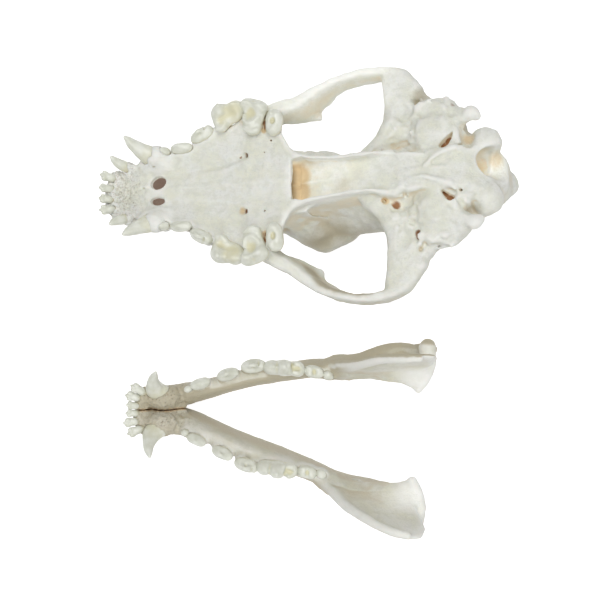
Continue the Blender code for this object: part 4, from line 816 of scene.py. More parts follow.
def fine_detail(b):
    """Everything that is rough, and whatever differs from side to side."""
    b.roughen(9.0, 0.25, 3)
    b.roughen(3.4, 0.22, 4)
    b.roughen(1.6, 0.13, 2)
    for side in (1, -1):
        b.gnarl(ball((139, 18 * side, -8), (6, 7, 4)), 2.1, 0.9, 5, 3.0)
        b.gnarl(ball((150, 25 * side, -10), (9, 6, 6)), 2.8, 0.7, 12)
        b.gnarl(ball((152, 12 * side, -6), (14, 12, 4)), 5.0, 0.5, 13, 6.0)
        b.gnarl(ball((153, 32.4 * side, -11), (9, 2.6, 6)), 1.9, 1.0, 6, 2.0)
        b.gnarl(ball((164, 17 * side, -10), (5, 7, 5)), 2.2, 0.4, 7)
        b.gnarl(ball((171, 20 * side, -32), (8, 14, 14)), 3.0, 0.5, 8)
        b.gnarl(ball((106, 20 * side, -22), (20, 8, 14)), 4.0, 0.8, 10)
        b.gnarl(ball((112, 49 * side, -24), (22, 5, 4)), 4.0, 0.6, 11)
    b.gnarl(ball((163, -13, -8), (5, 5, 4)), 2.4, 0.9, 14)
    b.gnarl(ball((50, 0, -2), (44, 26, 5)), 5.5, 0.45, 16, 8.0)
    b.gnarl(ball((5, 0, -1), (12, 15, 6)), 1.9, 0.6, 9)
    # crest and folds under the brain
    b.join(limb([(136, -8.8, -6.6, 0.9), (141, -5.4, -5.5, 1.0), (147.5, -3.8, -4.7, 1.0),
                 (153, -5.0, -4.8, 1.0), (159, -7.0, -5.8, 1.1)]), 2.0)
    b.join(limb([(149, 1.6, -4.9, 0.8), (154, 5.2, -5.0, 1.1), (161, 8.6, -6.6, 1.2)]), 1.8)
    # slot between the last two upper teeth
    for side in (1, -1):
        b.carve(limb([(77.5, 31.6 * side, -0.6, 0.7), (77, 27 * side, -1.0, 0.9),
                      (76.7, 23 * side, -1.2, 0.7)]), 0.3)
    # spinal opening, a little off centre
    b.carve(ball((181.6, 2.6, -17), (8.4, 7.4, 9.4), (0, 0, 24)), 2.4)
    b.carve(limb([(150, 0.8, -31, 7.2), (163, 1.4, -24.4, 7.2), (172, 3.6, -17.4, 6.0),
                  (178, 2.8, -13.4, 7.0), (186, 2.6, -8.4, 8.6)]), 0.7)
    # grooves that run forward from the palatine foramina, and the ridge between them
    b.carve(limb([(67, 12.6, -2.0, 1.3), (56, 9.6, -1.4, 1.7), (42, 7.8, -1.1, 1.7),
                  (28, 6.4, -0.9, 1.6)]), 1.2)
    b.carve(limb([(66, -12.8, -2.0, 1.3), (56, -9.8, -1.4, 1.7), (42, -8.2, -1.1, 1.7),
                  (28, -6.6, -0.9, 1.6)]), 1.2)
    b.join(limb([(30, 0.4, -3.2, 0.9), (60, 0, -3.2, 1.0), (88, 0, -3.4, 1.0)]), 1.6)
    for shape, blend in LEFT_HOLLOWS + RIGHT_HOLLOWS:
        b.carve(shape, blend)


def lean_aside(points):
    """This animal's cheek arches and the roof over its eyes sit a little towards its right."""
    p = points.copy()
    side = ramp(np.abs(p[:, 1]), 24, 14)
    aside = np.interp(p[:, 0], [76, 84, 90, 96, 101, 130, 138, 146, 152],
                      [0, 0.8, 1.7, 2.4, 2.5, 2.1, 1.5, 0.6, 0])
    p[:, 1] -= side * side * (3 - 2 * side) * aside
    over_eyes = np.interp(p[:, 0], [74, 84, 104, 124], [0, 1, 1, 0])
    p[:, 1] -= 1.3 * ramp(p[:, 2], -32, -8) * over_eyes
    return p


# Lower jaw

def ramus(u, v, w):
    """Thin upright branch of the jaw."""
    edge = [(88, 16), (91, 26), (96.5, 37), (103, 49), (110, 58), (117, 63), (124.6, 64.5), (130.6, 62),
            (132.8, 55), (132.6, 48), (131.5, 41), (131, 35), (132, 31), (134, 24), (131, 13),
            (114, 8), (98, 9)]
    flat = outline(edge, u, w)
    middle = 29.0 + 0.06 * (u - 110) + 0.235 * np.clip(w - 24, 0, 60)
    half = np.interp(w, [10, 25, 45, 64], [3.0, 2.7, 1.6, 1.0])
    return high_blend(np.abs(v - middle) - half, flat, 2.0)


def jaw_bone(b):
    """One half of the lower jaw at v > 0, without its teeth."""
    b.join(band([(-1, 4.0, 16, 4.2, 6.5, -12), (7, 5.2, 13.8, 5.0, 9, -16),
                 (17, 6.4, 12.4, 5.2, 11, -13), (29, 9.6, 12.3, 4.5, 11.8, -8),
                 (40, 13.4, 12.3, 4.3, 12, -7), (52, 17.2, 12.2, 4.3, 12.1, -6),
                 (66, 20.8, 12.4, 4.3, 12.4, -4), (80, 24.4, 13, 4.3, 12.8, -2),
                 (92, 26.8, 14.2, 4.2, 12.4, -2), (104, 28.8, 15, 3.8, 11.4, 0),
                 (116, 30.6, 14.5, 3.4, 9, 0), (127, 34.2, 11.8, 2.9, 5.4, 0),
                 (136, 38, 9.4, 2.2, 2.8, 0)], (0, 0, 1), 2.5))
    b.join(form((86, 24, 4), (137, 44, 67), ramus), 5.0)
    # thick front edge of the coronoid
    b.join(limb([(87, 27.0, 22, 3.0), (92, 29.2, 30, 2.8), (99, 32.4, 43, 2.3), (108, 35.4, 55, 1.8),
                 (117, 37.0, 62.4, 1.5), (124, 37.8, 64, 1.2)]), 2.0)
    # outer rim of the muscle hollow
    b.join(limb([(93, 29, 20, 2.2), (102, 33.6, 22, 2.2), (110, 38.2, 23, 2.4), (118, 40.4, 22, 2.4),
                 (125, 39.6, 18, 2.1)]), 9.0)
    # back end of the seam at the chin
    b.join(limb([(10, 3.0, 17, 3.0), (15, 2.0, 16, 2.0), (18.8, 0.8, 15, 0.9)]), 3.0)
    # rim of bone on the inner side of the canine
    b.join(limb([(4.0, 5.2, 22.4, 2.6), (8.0, 5.0, 23.6, 3.2), (13.0, 5.4, 22.8, 3.0)]), 3.0)
    # neck and the cross bar of the jaw joint
    b.join(limb([(116, 28.8, 24, 2.0), (122, 27.6, 26.6, 2.4), (127, 24.6, 29, 2.6)]), 9.0)
    b.join(limb([(122, 31, 25, 3.6), (129.4, 31, 29, 3.8)]), 6.0)
    b.join(band([(129.2, 21.6, 29.4, 2.0, 2.4, 0), (130.6, 26, 30.4, 3.2, 3.6, 0),
                 (132.6, 33, 31, 3.5, 3.8, 0), (131.8, 41.0, 29.4, 4.0, 4.4, 0)], (0, 0, 1)), 1.8)
    b.join(limb([(124, 37.6, 9, 3.0), (132, 39, 7.4, 2.6), (138, 39, 9.4, 1.6)]), 2.6)


def jaw_hollows(b):
    """Roughness, muscle hollow, nerve openings and the dip at the chin."""
    b.roughen(9.0, 0.22, 13)
    b.roughen(3.2, 0.12, 14)
    b.gnarl(ball((8, 3, 22), (13, 7, 6)), 2.0, 0.7, 15)
    b.gnarl(ball((96, 26, 24), (14, 6, 10)), 4.0, 0.4, 16)
    b.carve(ball((112, 44.5, 37), (14, 6.6, 11), (0, 0, 6)), 3.4)
    b.carve(limb([(103, 24.4, 19, 1.6), (109, 27.5, 22, 1.4)]), 1.2)
    b.carve(limb([(22, 13, 14, 1.3), (26, 9, 13, 1.1)]), 0.5)
    # the joint face at the chin dips towards its seam
    b.carve(limb([(-2, -0.6, 25.4, 1.9), (8, -0.6, 25.2, 2.2), (18, -0.6, 23.6, 2.0),
                  (24, -0.4, 22, 1.6)]), 1.8)


def sway(points):
    """This jaw stands a little towards the animal's right; its branches lean the other way at the top."""
    p = points.copy()
    p[:, 1] += np.interp(p[:, 0], [-6, 0, 10, 18, 24, 50, 66, 80, 100],
                         [0.9, 0.5, 0.9, 1.9, 2.1, 2.1, 1.8, 1.3, 0.2])
    p[:, 1] -= 0.045 * np.clip(p[:, 2] - 26, 0, 50) * ramp(p[:, 0], 84, 20)
    low = ramp(p[:, 2], 54, -14)
    p[:, 1] -= low * np.interp(p[:, 0], [78, 88, 98, 116, 130, 140], [0, 0.8, 1.8, 2.0, 1.0, 0.6])
    return p


# Meshes

def main_piece(points, faces):
    """Leave only the largest connected skin."""
    label = np.arange(len(points))
    a = faces.ravel()
    b = np.roll(faces, 1, axis=1).ravel()
    while True:
        before = label.copy()
        low = np.minimum(label[a], label[b])
        np.minimum.at(label, a, low)
        np.minimum.at(label, b, low)
        label = label[label]
        if (label == before).all():
            break
    kept = label == np.bincount(label).argmax()
    index = np.cumsum(kept) - 1
    return points[kept], index[faces[kept[faces[:, 0]]]]


def mesh_from(name, points, faces):
    """Mesh of triangles."""
    mesh = bpy.data.meshes.new(name)
    mesh.vertices.add(len(points))
    mesh.vertices.foreach_set("co", np.asarray(points, np.float32).ravel())
    mesh.loops.add(faces.size)
    mesh.loops.foreach_set("vertex_index", faces.astype(np.int32).ravel())
    mesh.polygons.add(len(faces))
    mesh.polygons.foreach_set("loop_start", np.arange(0, faces.size, 3, dtype=np.int32))
    mesh.update(calc_edges=True)
    return mesh


def read(mesh):
    """Vertices and triangles of a mesh."""
    points = np.zeros(len(mesh.vertices) * 3, np.float32)
    mesh.vertices.foreach_get("co", points)
    faces = np.zeros(len(mesh.polygons) * 3, np.int32)
    mesh.polygons.foreach_get("vertices", faces)
    return points.reshape(-1, 3).astype(float), faces.reshape(-1, 3)


def evaluated(item):
    """Plain mesh of an object with its modifiers worked in."""
    graph = bpy.context.evaluated_depsgraph_get()
    mesh = bpy.data.meshes.new_from_object(item.evaluated_get(graph))
    for step in list(item.modifiers):
        item.modifiers.remove(step)
    return mesh


def thinned(points, faces, limit):
    """The same skin with about the given number of triangles, still in millimetres."""
    item = bpy.data.objects.new("thinning", mesh_from("thinning", points, faces))
    bpy.context.scene.collection.objects.link(item)
    step = item.modifiers.new("thin", "DECIMATE")
    step.ratio = min(1.0, limit / len(faces))
    step.use_collapse_triangulate = True
    light = evaluated(item)
    heavy = item.data
    bpy.data.objects.remove(item)
    bpy.data.meshes.remove(heavy)
    result = read(light)
    bpy.data.meshes.remove(light)
    return result


def relief_tree():
    """Geometry Nodes tree that gives a bone its grain and, where it is marked porous, its pits."""
    tree = bpy.data.node_groups.new("bone_relief", "GeometryNodeTree")
    face = tree.interface
    face.new_socket("Geometry", in_out="INPUT", socket_type="NodeSocketGeometry")
    sizes = {"Grain size": 2.4, "Grain height": 0.55, "Pit spacing": 1.7, "Pit depth": 0.55,
             "Rough size": 1.5, "Rough height": 1.5}
    for name, size in sizes.items():
        face.new_socket(name, in_out="INPUT", socket_type="NodeSocketFloat").default_value = size * MM
    face.new_socket("Seed", in_out="INPUT", socket_type="NodeSocketFloat").default_value = 7.0
    face.new_socket("Bone", in_out="INPUT", socket_type="NodeSocketMaterial")
    face.new_socket("Geometry", in_out="OUTPUT", socket_type="NodeSocketGeometry")

    def node(kind, settings, **inputs):
        made = tree.nodes.new(kind)
        for name, value in settings.items():
            setattr(made, name, value)
        for name, value in inputs.items():
            socket = made.inputs[int(name[1:])] if name[0] == "_" else made.inputs[name.replace("_", " ")]
            if isinstance(value, bpy.types.NodeSocket):
                tree.links.new(value, socket)
            else:
                socket.default_value = value
        return made.outputs

    given = node("NodeGroupInput", {})
    place = node("GeometryNodeInputPosition", {})[0]
    normal = node("GeometryNodeInputNormal", {})[0]
    porous = node("GeometryNodeInputNamedAttribute", {"data_type": "FLOAT"}, Name="porous")[0]

    def maths(operation, a, b=0.0):
        return node("ShaderNodeMath", {"operation": operation}, _0=a, _1=b)[0]

    def scaled(vector, amount):
        return node("ShaderNodeVectorMath", {"operation": "SCALE"}, Vector=vector, Scale=amount)[0]

    grain = node("ShaderNodeTexNoise", {"noise_dimensions": "4D"}, Vector=place, W=given["Seed"],
                 Scale=maths("DIVIDE", 1.0, given["Grain size"]), Detail=3.0)[0]
    rough = node("ShaderNodeTexNoise", {"noise_dimensions": "4D"}, Vector=place, W=given["Seed"],
                 Scale=maths("DIVIDE", 1.0, given["Rough size"]), Detail=3.0, Roughness=0.6)
    stir = scaled(rough[1], maths("MULTIPLY", given["Rough size"], 1.6))
    stirred = node("ShaderNodeVectorMath", {"operation": "ADD"}, _0=place, _1=stir)[0]
    cell = node("ShaderNodeTexVoronoi", {"feature": "F1", "voronoi_dimensions": "4D"},
                Vector=stirred, W=given["Seed"], Scale=maths("DIVIDE", 1.0, given["Pit spacing"]))[0]
    pit = maths("MAXIMUM", maths("SUBTRACT", 0.42, cell), 0.0)
    waves = maths("MULTIPLY", maths("SUBTRACT", grain, 0.5), given["Grain height"])
    crumbs = maths("MULTIPLY", maths("SUBTRACT", rough[0], 0.5), porous)
    rise = maths("ADD", waves, maths("MULTIPLY", crumbs, given["Rough height"]))
    fall = maths("MULTIPLY", maths("MULTIPLY", pit, given["Pit depth"]), maths("MULTIPLY", porous, 2.4))
    step = scaled(normal, maths("SUBTRACT", rise, fall))
    moved = node("GeometryNodeSetPosition", {}, Geometry=given["Geometry"], Offset=step)[0]
    whole = node("GeometryNodeRealizeInstances", {}, Geometry=moved)[0]
    dressed = node("GeometryNodeSetMaterial", {}, Geometry=whole, Material=given["Bone"])[0]
    node("NodeGroupOutput", {}, Geometry=dressed)
    return tree


def in_relief(item, values):
    """Work the relief into the mesh of an object, with the given inputs set by name."""
    step = item.modifiers.new("relief", "NODES")
    step.node_group = BONE_RELIEF
    for socket in BONE_RELIEF.interface.items_tree:
        if socket.in_out == "INPUT" and socket.name in values:
            step[socket.identifier] = values[socket.name]
    plain = item.data
    item.data = evaluated(item)
    bpy.data.meshes.remove(plain)
    item.data.shade_smooth()


def piece(name, points, faces, marks, finish, slot):
    """Finished object that stands for the CAD node of that name."""
    mesh = mesh_from(name, points * MM, faces)
    for mark, values in marks.items():
        layer = mesh.attributes.new(mark, "FLOAT", "POINT")
        layer.data.foreach_set("value", np.asarray(values, np.float32))
    mesh.materials.append(finish)
    mesh.shade_smooth()
    bony = slot != "enamel"
    item = bpy.data.objects.new(name + ("_bone" if bony else "_crown"), mesh)
    bpy.context.scene.collection.objects.link(item)
    if bony:
        in_relief(item, {"Bone": finish})
    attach(item, "root")
    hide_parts(name)


def finished_skin(block, limit):
    """Vertices and triangles of a block's largest skin, thinned to about the limit."""
    points, faces = block.skin()
    return main_piece(*thinned(points, faces, limit))


def to_world(points, turn, at):
    return points @ np.array(turn).T + np.array(at)


def facing(points, faces, way):
    """How far the skin at every vertex faces the given way, from -1 to 1."""
    corners = points[faces]
    across = np.cross(corners[:, 1] - corners[:, 0], corners[:, 2] - corners[:, 0])
    total = np.zeros((len(points), 3))
    for corner in range(3):
        for axis in range(3):
            total[:, axis] += np.bincount(faces[:, corner], across[:, axis], len(points))
    return total @ np.array(way, float) / np.maximum(np.linalg.norm(total, axis=1), 1e-9)


def blobs(points, spots):
    """Strength at the points of soft-edged spots (u, v, w, radius, strength)."""
    total = np.zeros(len(points))
    for u, v, w, radius, strength in spots:
        gap = np.linalg.norm(points - (u, v, w), axis=1) / radius
        total = np.maximum(total, strength * np.clip(1.4 - gap, 0, 1) ** 1.2)
    return total


# Finishes

class Wire:
    """A socket that can be used in plain arithmetic."""

    def __init__(self, finish, socket):
        self.finish = finish
        self.socket = socket

    def maths(self, operation, *values):
        return self.finish.node("ShaderNodeMath", {"operation": operation}, dict(enumerate(values)))

    def __add__(self, other):
        return self.maths("ADD", self, other)

    def __radd__(self, other):
        return self.maths("ADD", other, self)

    def __sub__(self, other):
        return self.maths("SUBTRACT", self, other)

    def __rsub__(self, other):
        return self.maths("SUBTRACT", other, self)

    def __mul__(self, other):
        return self.maths("MULTIPLY", self, other)

    def __rmul__(self, other):
        return self.maths("MULTIPLY", other, self)

    def above(self, edge, soft):
        """0 below the edge, 1 from edge + soft on."""
        return self.finish.node("ShaderNodeMapRange", {"interpolation_type": "SMOOTHSTEP"},
                                {"Value": self, "From Min": edge, "From Max": edge + soft})


class Finish:
    """One material, made node by node."""

    def __init__(self, name):
        self.material = bpy.data.materials.new(name)
        self.material.use_nodes = True
        self.tree = self.material.node_tree
        self.surface = self.tree.nodes["Principled BSDF"]
        self.place = self.node("ShaderNodeTexCoord", {}, {}, "Object")

    def node(self, kind, settings, inputs, output=0):
        """One node with its settings made first; inputs go by socket name, identifier or number."""
        made = self.tree.nodes.new(kind)
        for name, value in settings.items():
            setattr(made, name, value)
        for name, value in inputs.items():
            if isinstance(name, int):
                socket = made.inputs[name]
            else:
                socket = next(s for s in made.inputs if name in (s.identifier, s.name) and s.enabled)
            self.feed(socket, value)
        return Wire(self, made.outputs[output])

    def feed(self, socket, value):
        if isinstance(value, Wire):
            self.tree.links.new(value.socket, socket)
        elif isinstance(value, (tuple, list)) and socket.type == "RGBA":
            socket.default_value = (*value, 1.0)
        else:
            socket.default_value = value

    def mark(self, name):
        """A value that the piece's own vertices carry."""
        return self.node("ShaderNodeAttribute", {"attribute_name": name}, {}, "Fac")

    def noise(self, place, size, detail=2.0, rough=0.5):
        """Noise from 0 to 1 whose lumps are about size millimetres."""
        return self.node("ShaderNodeTexNoise", {"noise_dimensions": "3D"},
                         {"Vector": place, "Scale": 1 / (size * MM),
                          "Detail": detail, "Roughness": rough})

    def mix(self, share, a, b):
        return self.node("ShaderNodeMix", {"data_type": "RGBA"},
                         {"Factor_Float": share, "A_Color": a, "B_Color": b}, 2)

    def bump(self, height, strength, depth):
        return self.node("ShaderNodeBump", {},
                         {"Height": height, "Strength": strength, "Distance": depth * MM})

    def set(self, **values):
        for name, value in values.items():
            self.feed(self.surface.inputs[name.replace("_", " ")], value)


# tints of the bone, with the colours of its painted edge highlight and its painted shade, and the spacing
# of its pores in millimetres
EDGE_LIGHT_AND_WEAR = (0.83, 0.83, 0.79)
DRAB_SHADE = (0.50, 0.455, 0.335)
TAN = (0.64, 0.50, 0.305)
ROSE_SHADE = (0.29, 0.21, 0.17)
BROWN = (0.27, 0.135, 0.06)
PORE = (0.38, 0.31, 0.23)
CRUMB = (0.42, 0.38, 0.30)
PORE_SPACING = 1.5


def bone_finish(name, turn, pale, cream_and_shade):
    """Dry bleached bone: grain along the skull, pores, and warm tints where the marks say so, with
    painted shade, painted edge highlights and a painted glow where their marks say so.
    """
    f = Finish(name)
    along = f.node("ShaderNodeMapping", {},
                   {"Vector": f.place, "Rotation": turn, "Scale": (0.16, 1.0, 1.0)})
    grain = f.noise(along, 0.7, 4.0, 0.6)
    cloud = f.noise(f.place, 11.0, 4.0, 0.6)
    patch = f.noise(f.place, 3.2, 3.0, 0.6)
    speck = f.noise(f.place, 0.9, 3.0, 0.7)
    rag = (cloud - 0.5) * 0.5 + (speck - 0.5) * 0.35
    warm = (pale[0] * 0.955, pale[1] * 0.955, pale[2] * 0.86)
    dull = (pale[0] * 0.86, pale[1] * 0.865, pale[2] * 0.81)
    colour = f.mix(cloud.above(0.36, 0.28), pale, warm)
    colour = f.mix(patch.above(0.45, 0.2) * 0.65, colour, dull)
    colour = f.mix(grain.above(0.48, 0.25) * 0.4, colour, tuple(c * 0.86 for c in pale))
    colour = f.mix((speck - 0.5).above(0.04, 0.12) * 0.45, colour, tuple(c * 0.8 for c in pale))
    # painted highlight: convex edges are made paler, with some wear on the jaw joint
    colour = f.mix(f.mark("edge_light_and_wear"), colour, EDGE_LIGHT_AND_WEAR)
    # painted shade: slopes, hollows and creases are made creamy, over a creamy tint of the bone's own
    colour = f.mix((f.mark("cream_and_shade") + rag * f.mark("cream_and_shade")).above(0.1, 0.7), colour, cream_and_shade)
    # painted shade: olive beige on sloping walls and on faces turned away
    colour = f.mix((f.mark("drab_shade") * (rag + 0.9)).above(0.05, 0.9), colour, DRAB_SHADE)
    # stains, and painted shade in the deepest hollows
    colour = f.mix((f.mark("tan_stain_and_shade") + rag * 0.6).above(0.25, 0.5), colour, TAN)
    # painted shade: rosy brown inside the openings of the nose
    colour = f.mix((f.mark("rose_shade") + rag * 0.3).above(0.3, 0.4), colour, ROSE_SHADE)
    colour = f.mix((f.mark("brown") + rag * 0.5).above(0.3, 0.5), colour, BROWN)
    pores = f.node("ShaderNodeTexVoronoi", {"feature": "F1"},
                   {"Vector": f.place, "Scale": 1 / (PORE_SPACING * MM)})
    open_pore = (0.22 - pores).above(0.0, 0.1) * (f.mark("porous") + (cloud - 0.66) * 0.8).above(0.1, 0.4)
    colour = f.mix(open_pore * 0.5, colour, PORE)
    colour = f.mix(f.mark("porous") * (speck - 0.5).above(-0.02, 0.1) * 0.5, colour, CRUMB)
    height = grain * 0.35 + speck * 0.5 + patch * 0.5 - open_pore * 1.2
    # painted light: where its mark says, the bone shines with its own colour though no lamp is there
    f.set(Base_Color=colour, Roughness=0.5 + speck * 0.2, Normal=f.bump(height, 1.0, 0.5), IOR=1.5,
          Subsurface_Weight=0.12, Subsurface_Scale=0.0015, Subsurface_Radius=(1.0, 0.7, 0.5),
          Emission_Color=f.mix(f.mark("painted_glow"), (0.0, 0.0, 0.0), colour), Emission_Strength=0.55)
    return f.material


def enamel_finish(name):
    """Glossy crowns, cool at the tips, with a yellow green tint, partly painted shade, in the basins and
    a creamy neck.
    """
    f = Finish(name)
    cloud = f.noise(f.place, 4.0, 2.0)
    streak = f.noise(f.place, 0.8, 3.0)
    colour = f.mix(cloud.above(0.3, 0.4), (0.765, 0.775, 0.70), (0.66, 0.67, 0.575))
    # yellow green in the basins: painted shade in the hollows of the crown, with patches of tint
    colour = f.mix((f.mark("basin_tint_and_shade") + (cloud - 0.5) * 0.5).above(0.1, 1.0), colour, (0.68, 0.655, 0.46))
    colour = f.mix((f.mark("neck") + (cloud - 0.5) * 0.4).above(0.2, 0.7), colour, (0.66, 0.63, 0.47))
    f.set(Base_Color=colour, Roughness=0.26 + streak * 0.16, Normal=f.bump(streak + cloud, 0.3, 0.12),
          IOR=1.6, Subsurface_Weight=0.25, Subsurface_Scale=0.0012, Subsurface_Radius=(0.8, 0.8, 0.7))
    return f.material


# Pieces

def both(u, v, w, radius, strength):
    """The same spot on both sides."""
    return [(u, v, w, radius, strength), (u, -v, w, radius, strength)]


# stains, as u, v, w, radius, strength
BROWN_SPOTS = [
    *both(76.8, 13.6, -3, 1.0, 0.8), *both(156.4, 10.4, -11.4, 2.4, 1),
    *both(158.6, 12.8, -11.8, 2.4, 1), *both(164.2, 9.4, -10, 1.2, 0.9), (68.6, 13, -3.4, 1.8, 1),
    (68.2, -13, -3.4, 1.8, 1), (134.8, -13.8, -11, 2.4, 1), (130, -11.4, -11, 1.1, 1),
    (145, -28, -11, 2.0, 1), (170.4, -17.4, -13, 1.2, 0.9), (129, 11.4, -11, 2.0, 0.7),
    (135, 11.8, -9.4, 1.6, 0.6), (77.3, 30, -1.4, 1.2, 1), (77.1, 27, -1.6, 1.2, 1),
    (76.9, 24.4, -1.8, 1.2, 1), (77, -24.4, -1.8, 1.1, 1), (77, -27, -1.6, 1.1, 1),
    (144.7, -27, -10, 2.0, 0.9), (79.7, 18.7, -3, 0.8, 0.8), (64.8, 12.4, -3, 0.9, 0.9),
    (160.8, 28.7, -11, 2.0, 0.6)]
TAN_SPOTS = [
    *both(88.5, 3.5, -14, 8.0, 1.0), *both(60, 27.4, -1, 3.0, 0.5), (77.3, 30.5, -1.6, 2.2, 0.9),
    (77, 27, -1.8, 2.2, 0.9), (76.8, 23.6, -1.8, 2.0, 0.9), (77, -27, -1.6, 2.0, 0.8),
    (77, -24, -1.6, 2.0, 0.8), (66.5, 28.4, -1, 3.0, 0.5), (130, -11.6, -10, 2.6, 1.0),
    (65.8, -12.6, -2.6, 2.4, 0.7), (171, 5, -26, 6.0, 0.54), (178, 5, -22, 7.0, 0.54),
    (136.4, 12, -9, 3.6, 0.6), (167, 13.6, -13.5, 4.0, 0.6), (156, -28.6, -12, 3.4, 0.7),
    (94, 40, -25, 6, 0.5), (70.4, 24.6, -1, 2.0, 0.6), (69.6, -25.4, -1, 2.0, 0.6)]
# painted shade, olive beige: on the right eye socket wall, along the inner face of the right cheek arch,
# beside the ears and on the skull base; as u, v, w, radius, strength
DRAB_SHADE_SPOTS = [
    (100, -19, -34, 14, 0.7), (92, -18, -38, 10, 1.0), (112, -20, -40, 12, 0.6),
    (94, -38.5, -17, 6, 1.0), (100, -43.0, -14, 5, 1.1), (103.5, -44.4, -13.5, 4.2, 1.2),
    (107, -45.6, -13, 4.2, 1.2), (110.5, -46.4, -13, 4.0, 1.2), (114, -47.0, -13, 4.0, 1.2),
    (117.5, -47.5, -13, 4.0, 1.2), (121, -47.8, -13, 3.8, 1.0), (145.6, 34.6, -15, 5.5, 1.0),
    (155.7, -27.3, -12, 3.0, 0.8), (118, 1, -8, 6, 0.3), (112, -4, -9, 7, 0.5)]
# painted light: spots that glow though no lamp is there, in the spinal opening and at openings of the
# skull base
GLOW_SPOTS = [
    (170, 2, -28, 10, 1.0), *both(158, 12, -12, 4, 0.5), (134.8, -13.8, -12, 3.5, 0.5),
    (130, -11.8, -12, 3, 0.7)]
# painted shade, rosy brown: the dark inside of the nose, seen through its two openings
ROSE_SHADE_SPOTS = [(24.3, 5, -20, 16, 1.3), (24.3, -4, -20, 16, 1.3)]


def cranium_marks(b, points, faces):
    """How creamy, stained and rough the cranium is at every vertex, with painted shade in its hollows and
    on its slopes, a painted highlight on its edges and a painted glow in places.
    """
    u, v, w = points.T
    near = b.sample(b.crowding(CREASE), points)
    wide = b.sample(b.crowding(CAVITY), points)
    slope = np.clip((0.80 - facing(points, faces, (0, 0, 1))) * 1.5, 0, 0.85)
    passage = ramp(np.abs(v), 11, -3) * ramp(u, 84, 4)
    passage *= ramp(u, 133, -16) * ramp(w, -4.5, -3)
    arch = ramp(np.abs(v), 30, 6) * ramp(u, 140, -8)
    nose = (np.abs(v) < 9) & (u < 40) & (w < -4)
    # painted shade: slopes turned away from the palate side, wide hollows and tight creases are made
    # creamy, and a creamy tint runs along the nose passage and the cheek arches
    cream_and_shade = slope + (wide - 0.54) * 2.0 + (near - 0.53) * 3.0 + passage * 0.4 + arch * 0.4
    # painted shade: the deepest hollows near the middle take the stain colour
    hollow_shade = np.clip((wide - 0.78) * 5, 0, 0.9) * (np.abs(v) < 25)
    # painted light: the nose passage, the nose and the left cheek arch glow, though no lamp is there
    light = passage * np.interp(u, [90, 92], [0.95, 0.45]) + nose * 0.6 + arch * np.where(v > 0, 0.35, 0)
    return {"cream_and_shade": np.clip(cream_and_shade, 0, 1), "tan_stain_and_shade": blobs(points, TAN_SPOTS) + hollow_shade,
            "brown": blobs(points, BROWN_SPOTS), "drab_shade": blobs(points, DRAB_SHADE_SPOTS),
            "rose_shade": blobs(points, ROSE_SHADE_SPOTS) * nose, "porous": ramp(u, 18, -12),
            # painted highlight on convex edges, where little solid is close round
            "edge_light_and_wear": np.clip((0.46 - near) * 6, 0, 0.8),
            "painted_glow": np.clip(light + blobs(points, GLOW_SPOTS), 0, 1)}


def build_cranium(finish):
    """Cranium, made as one half, mirrored, then given what differs from side to side."""
    b = Block((-7, 0, -66), (193, 60, 13), BONE_PITCH)
    main_bone(b)
    cheek_bone(b)
    ear_bone(b)
    hollows(b)
    cheek_arch(b)
    for shape, blend in OPENINGS:
        b.carve(shape, blend)
    set_teeth(b, UPPER_ROW)
    b.mirror()
    fine_detail(b)
    points, faces = finished_skin(b, CRANIUM_FACES)
    marks = cranium_marks(b, points, faces)
    turn = (Matrix.Rotation(SKULL_YAW, 3, "Z") @ Matrix.Rotation(-SKULL_PITCH, 3, "Y")
            @ Matrix.Rotation(-SKULL_ROLL, 3, "X"))
    there = to_world(lean_aside(points), turn, SKULL_AT)
    piece("cranium", there, faces, marks, finish, "cranium_bone")
    return turn


def jaw_drab_shade(points, lean, outer, side):
    """Painted olive beige shade of the jaw on its sloping faces and in the muscle hollow, and an olive
    beige of its own on the rough chin: strong on the animal's right half (side 1), faint on its left.
    """
    u, v, w = points.T
    inner = np.clip(-0.2 - lean * 2, 0, 1) * ramp(u, 98, -10)
    hollow = ramp(v, 31, 3) * ramp(u, 94, 8) * ramp(w, 50, -6)
    rough = ramp(u, 24, -10)
    top = np.clip(0.9 + lean, 0, 1) * ramp(u, 98, -12)
    strength = 1.0 if side > 0 else 0.2
    own = (outer * 1.3 + hollow * 0.6 + inner * 1.15 + rough * 0.9) * strength
    return own + rough * 0.25 + top * 0.42


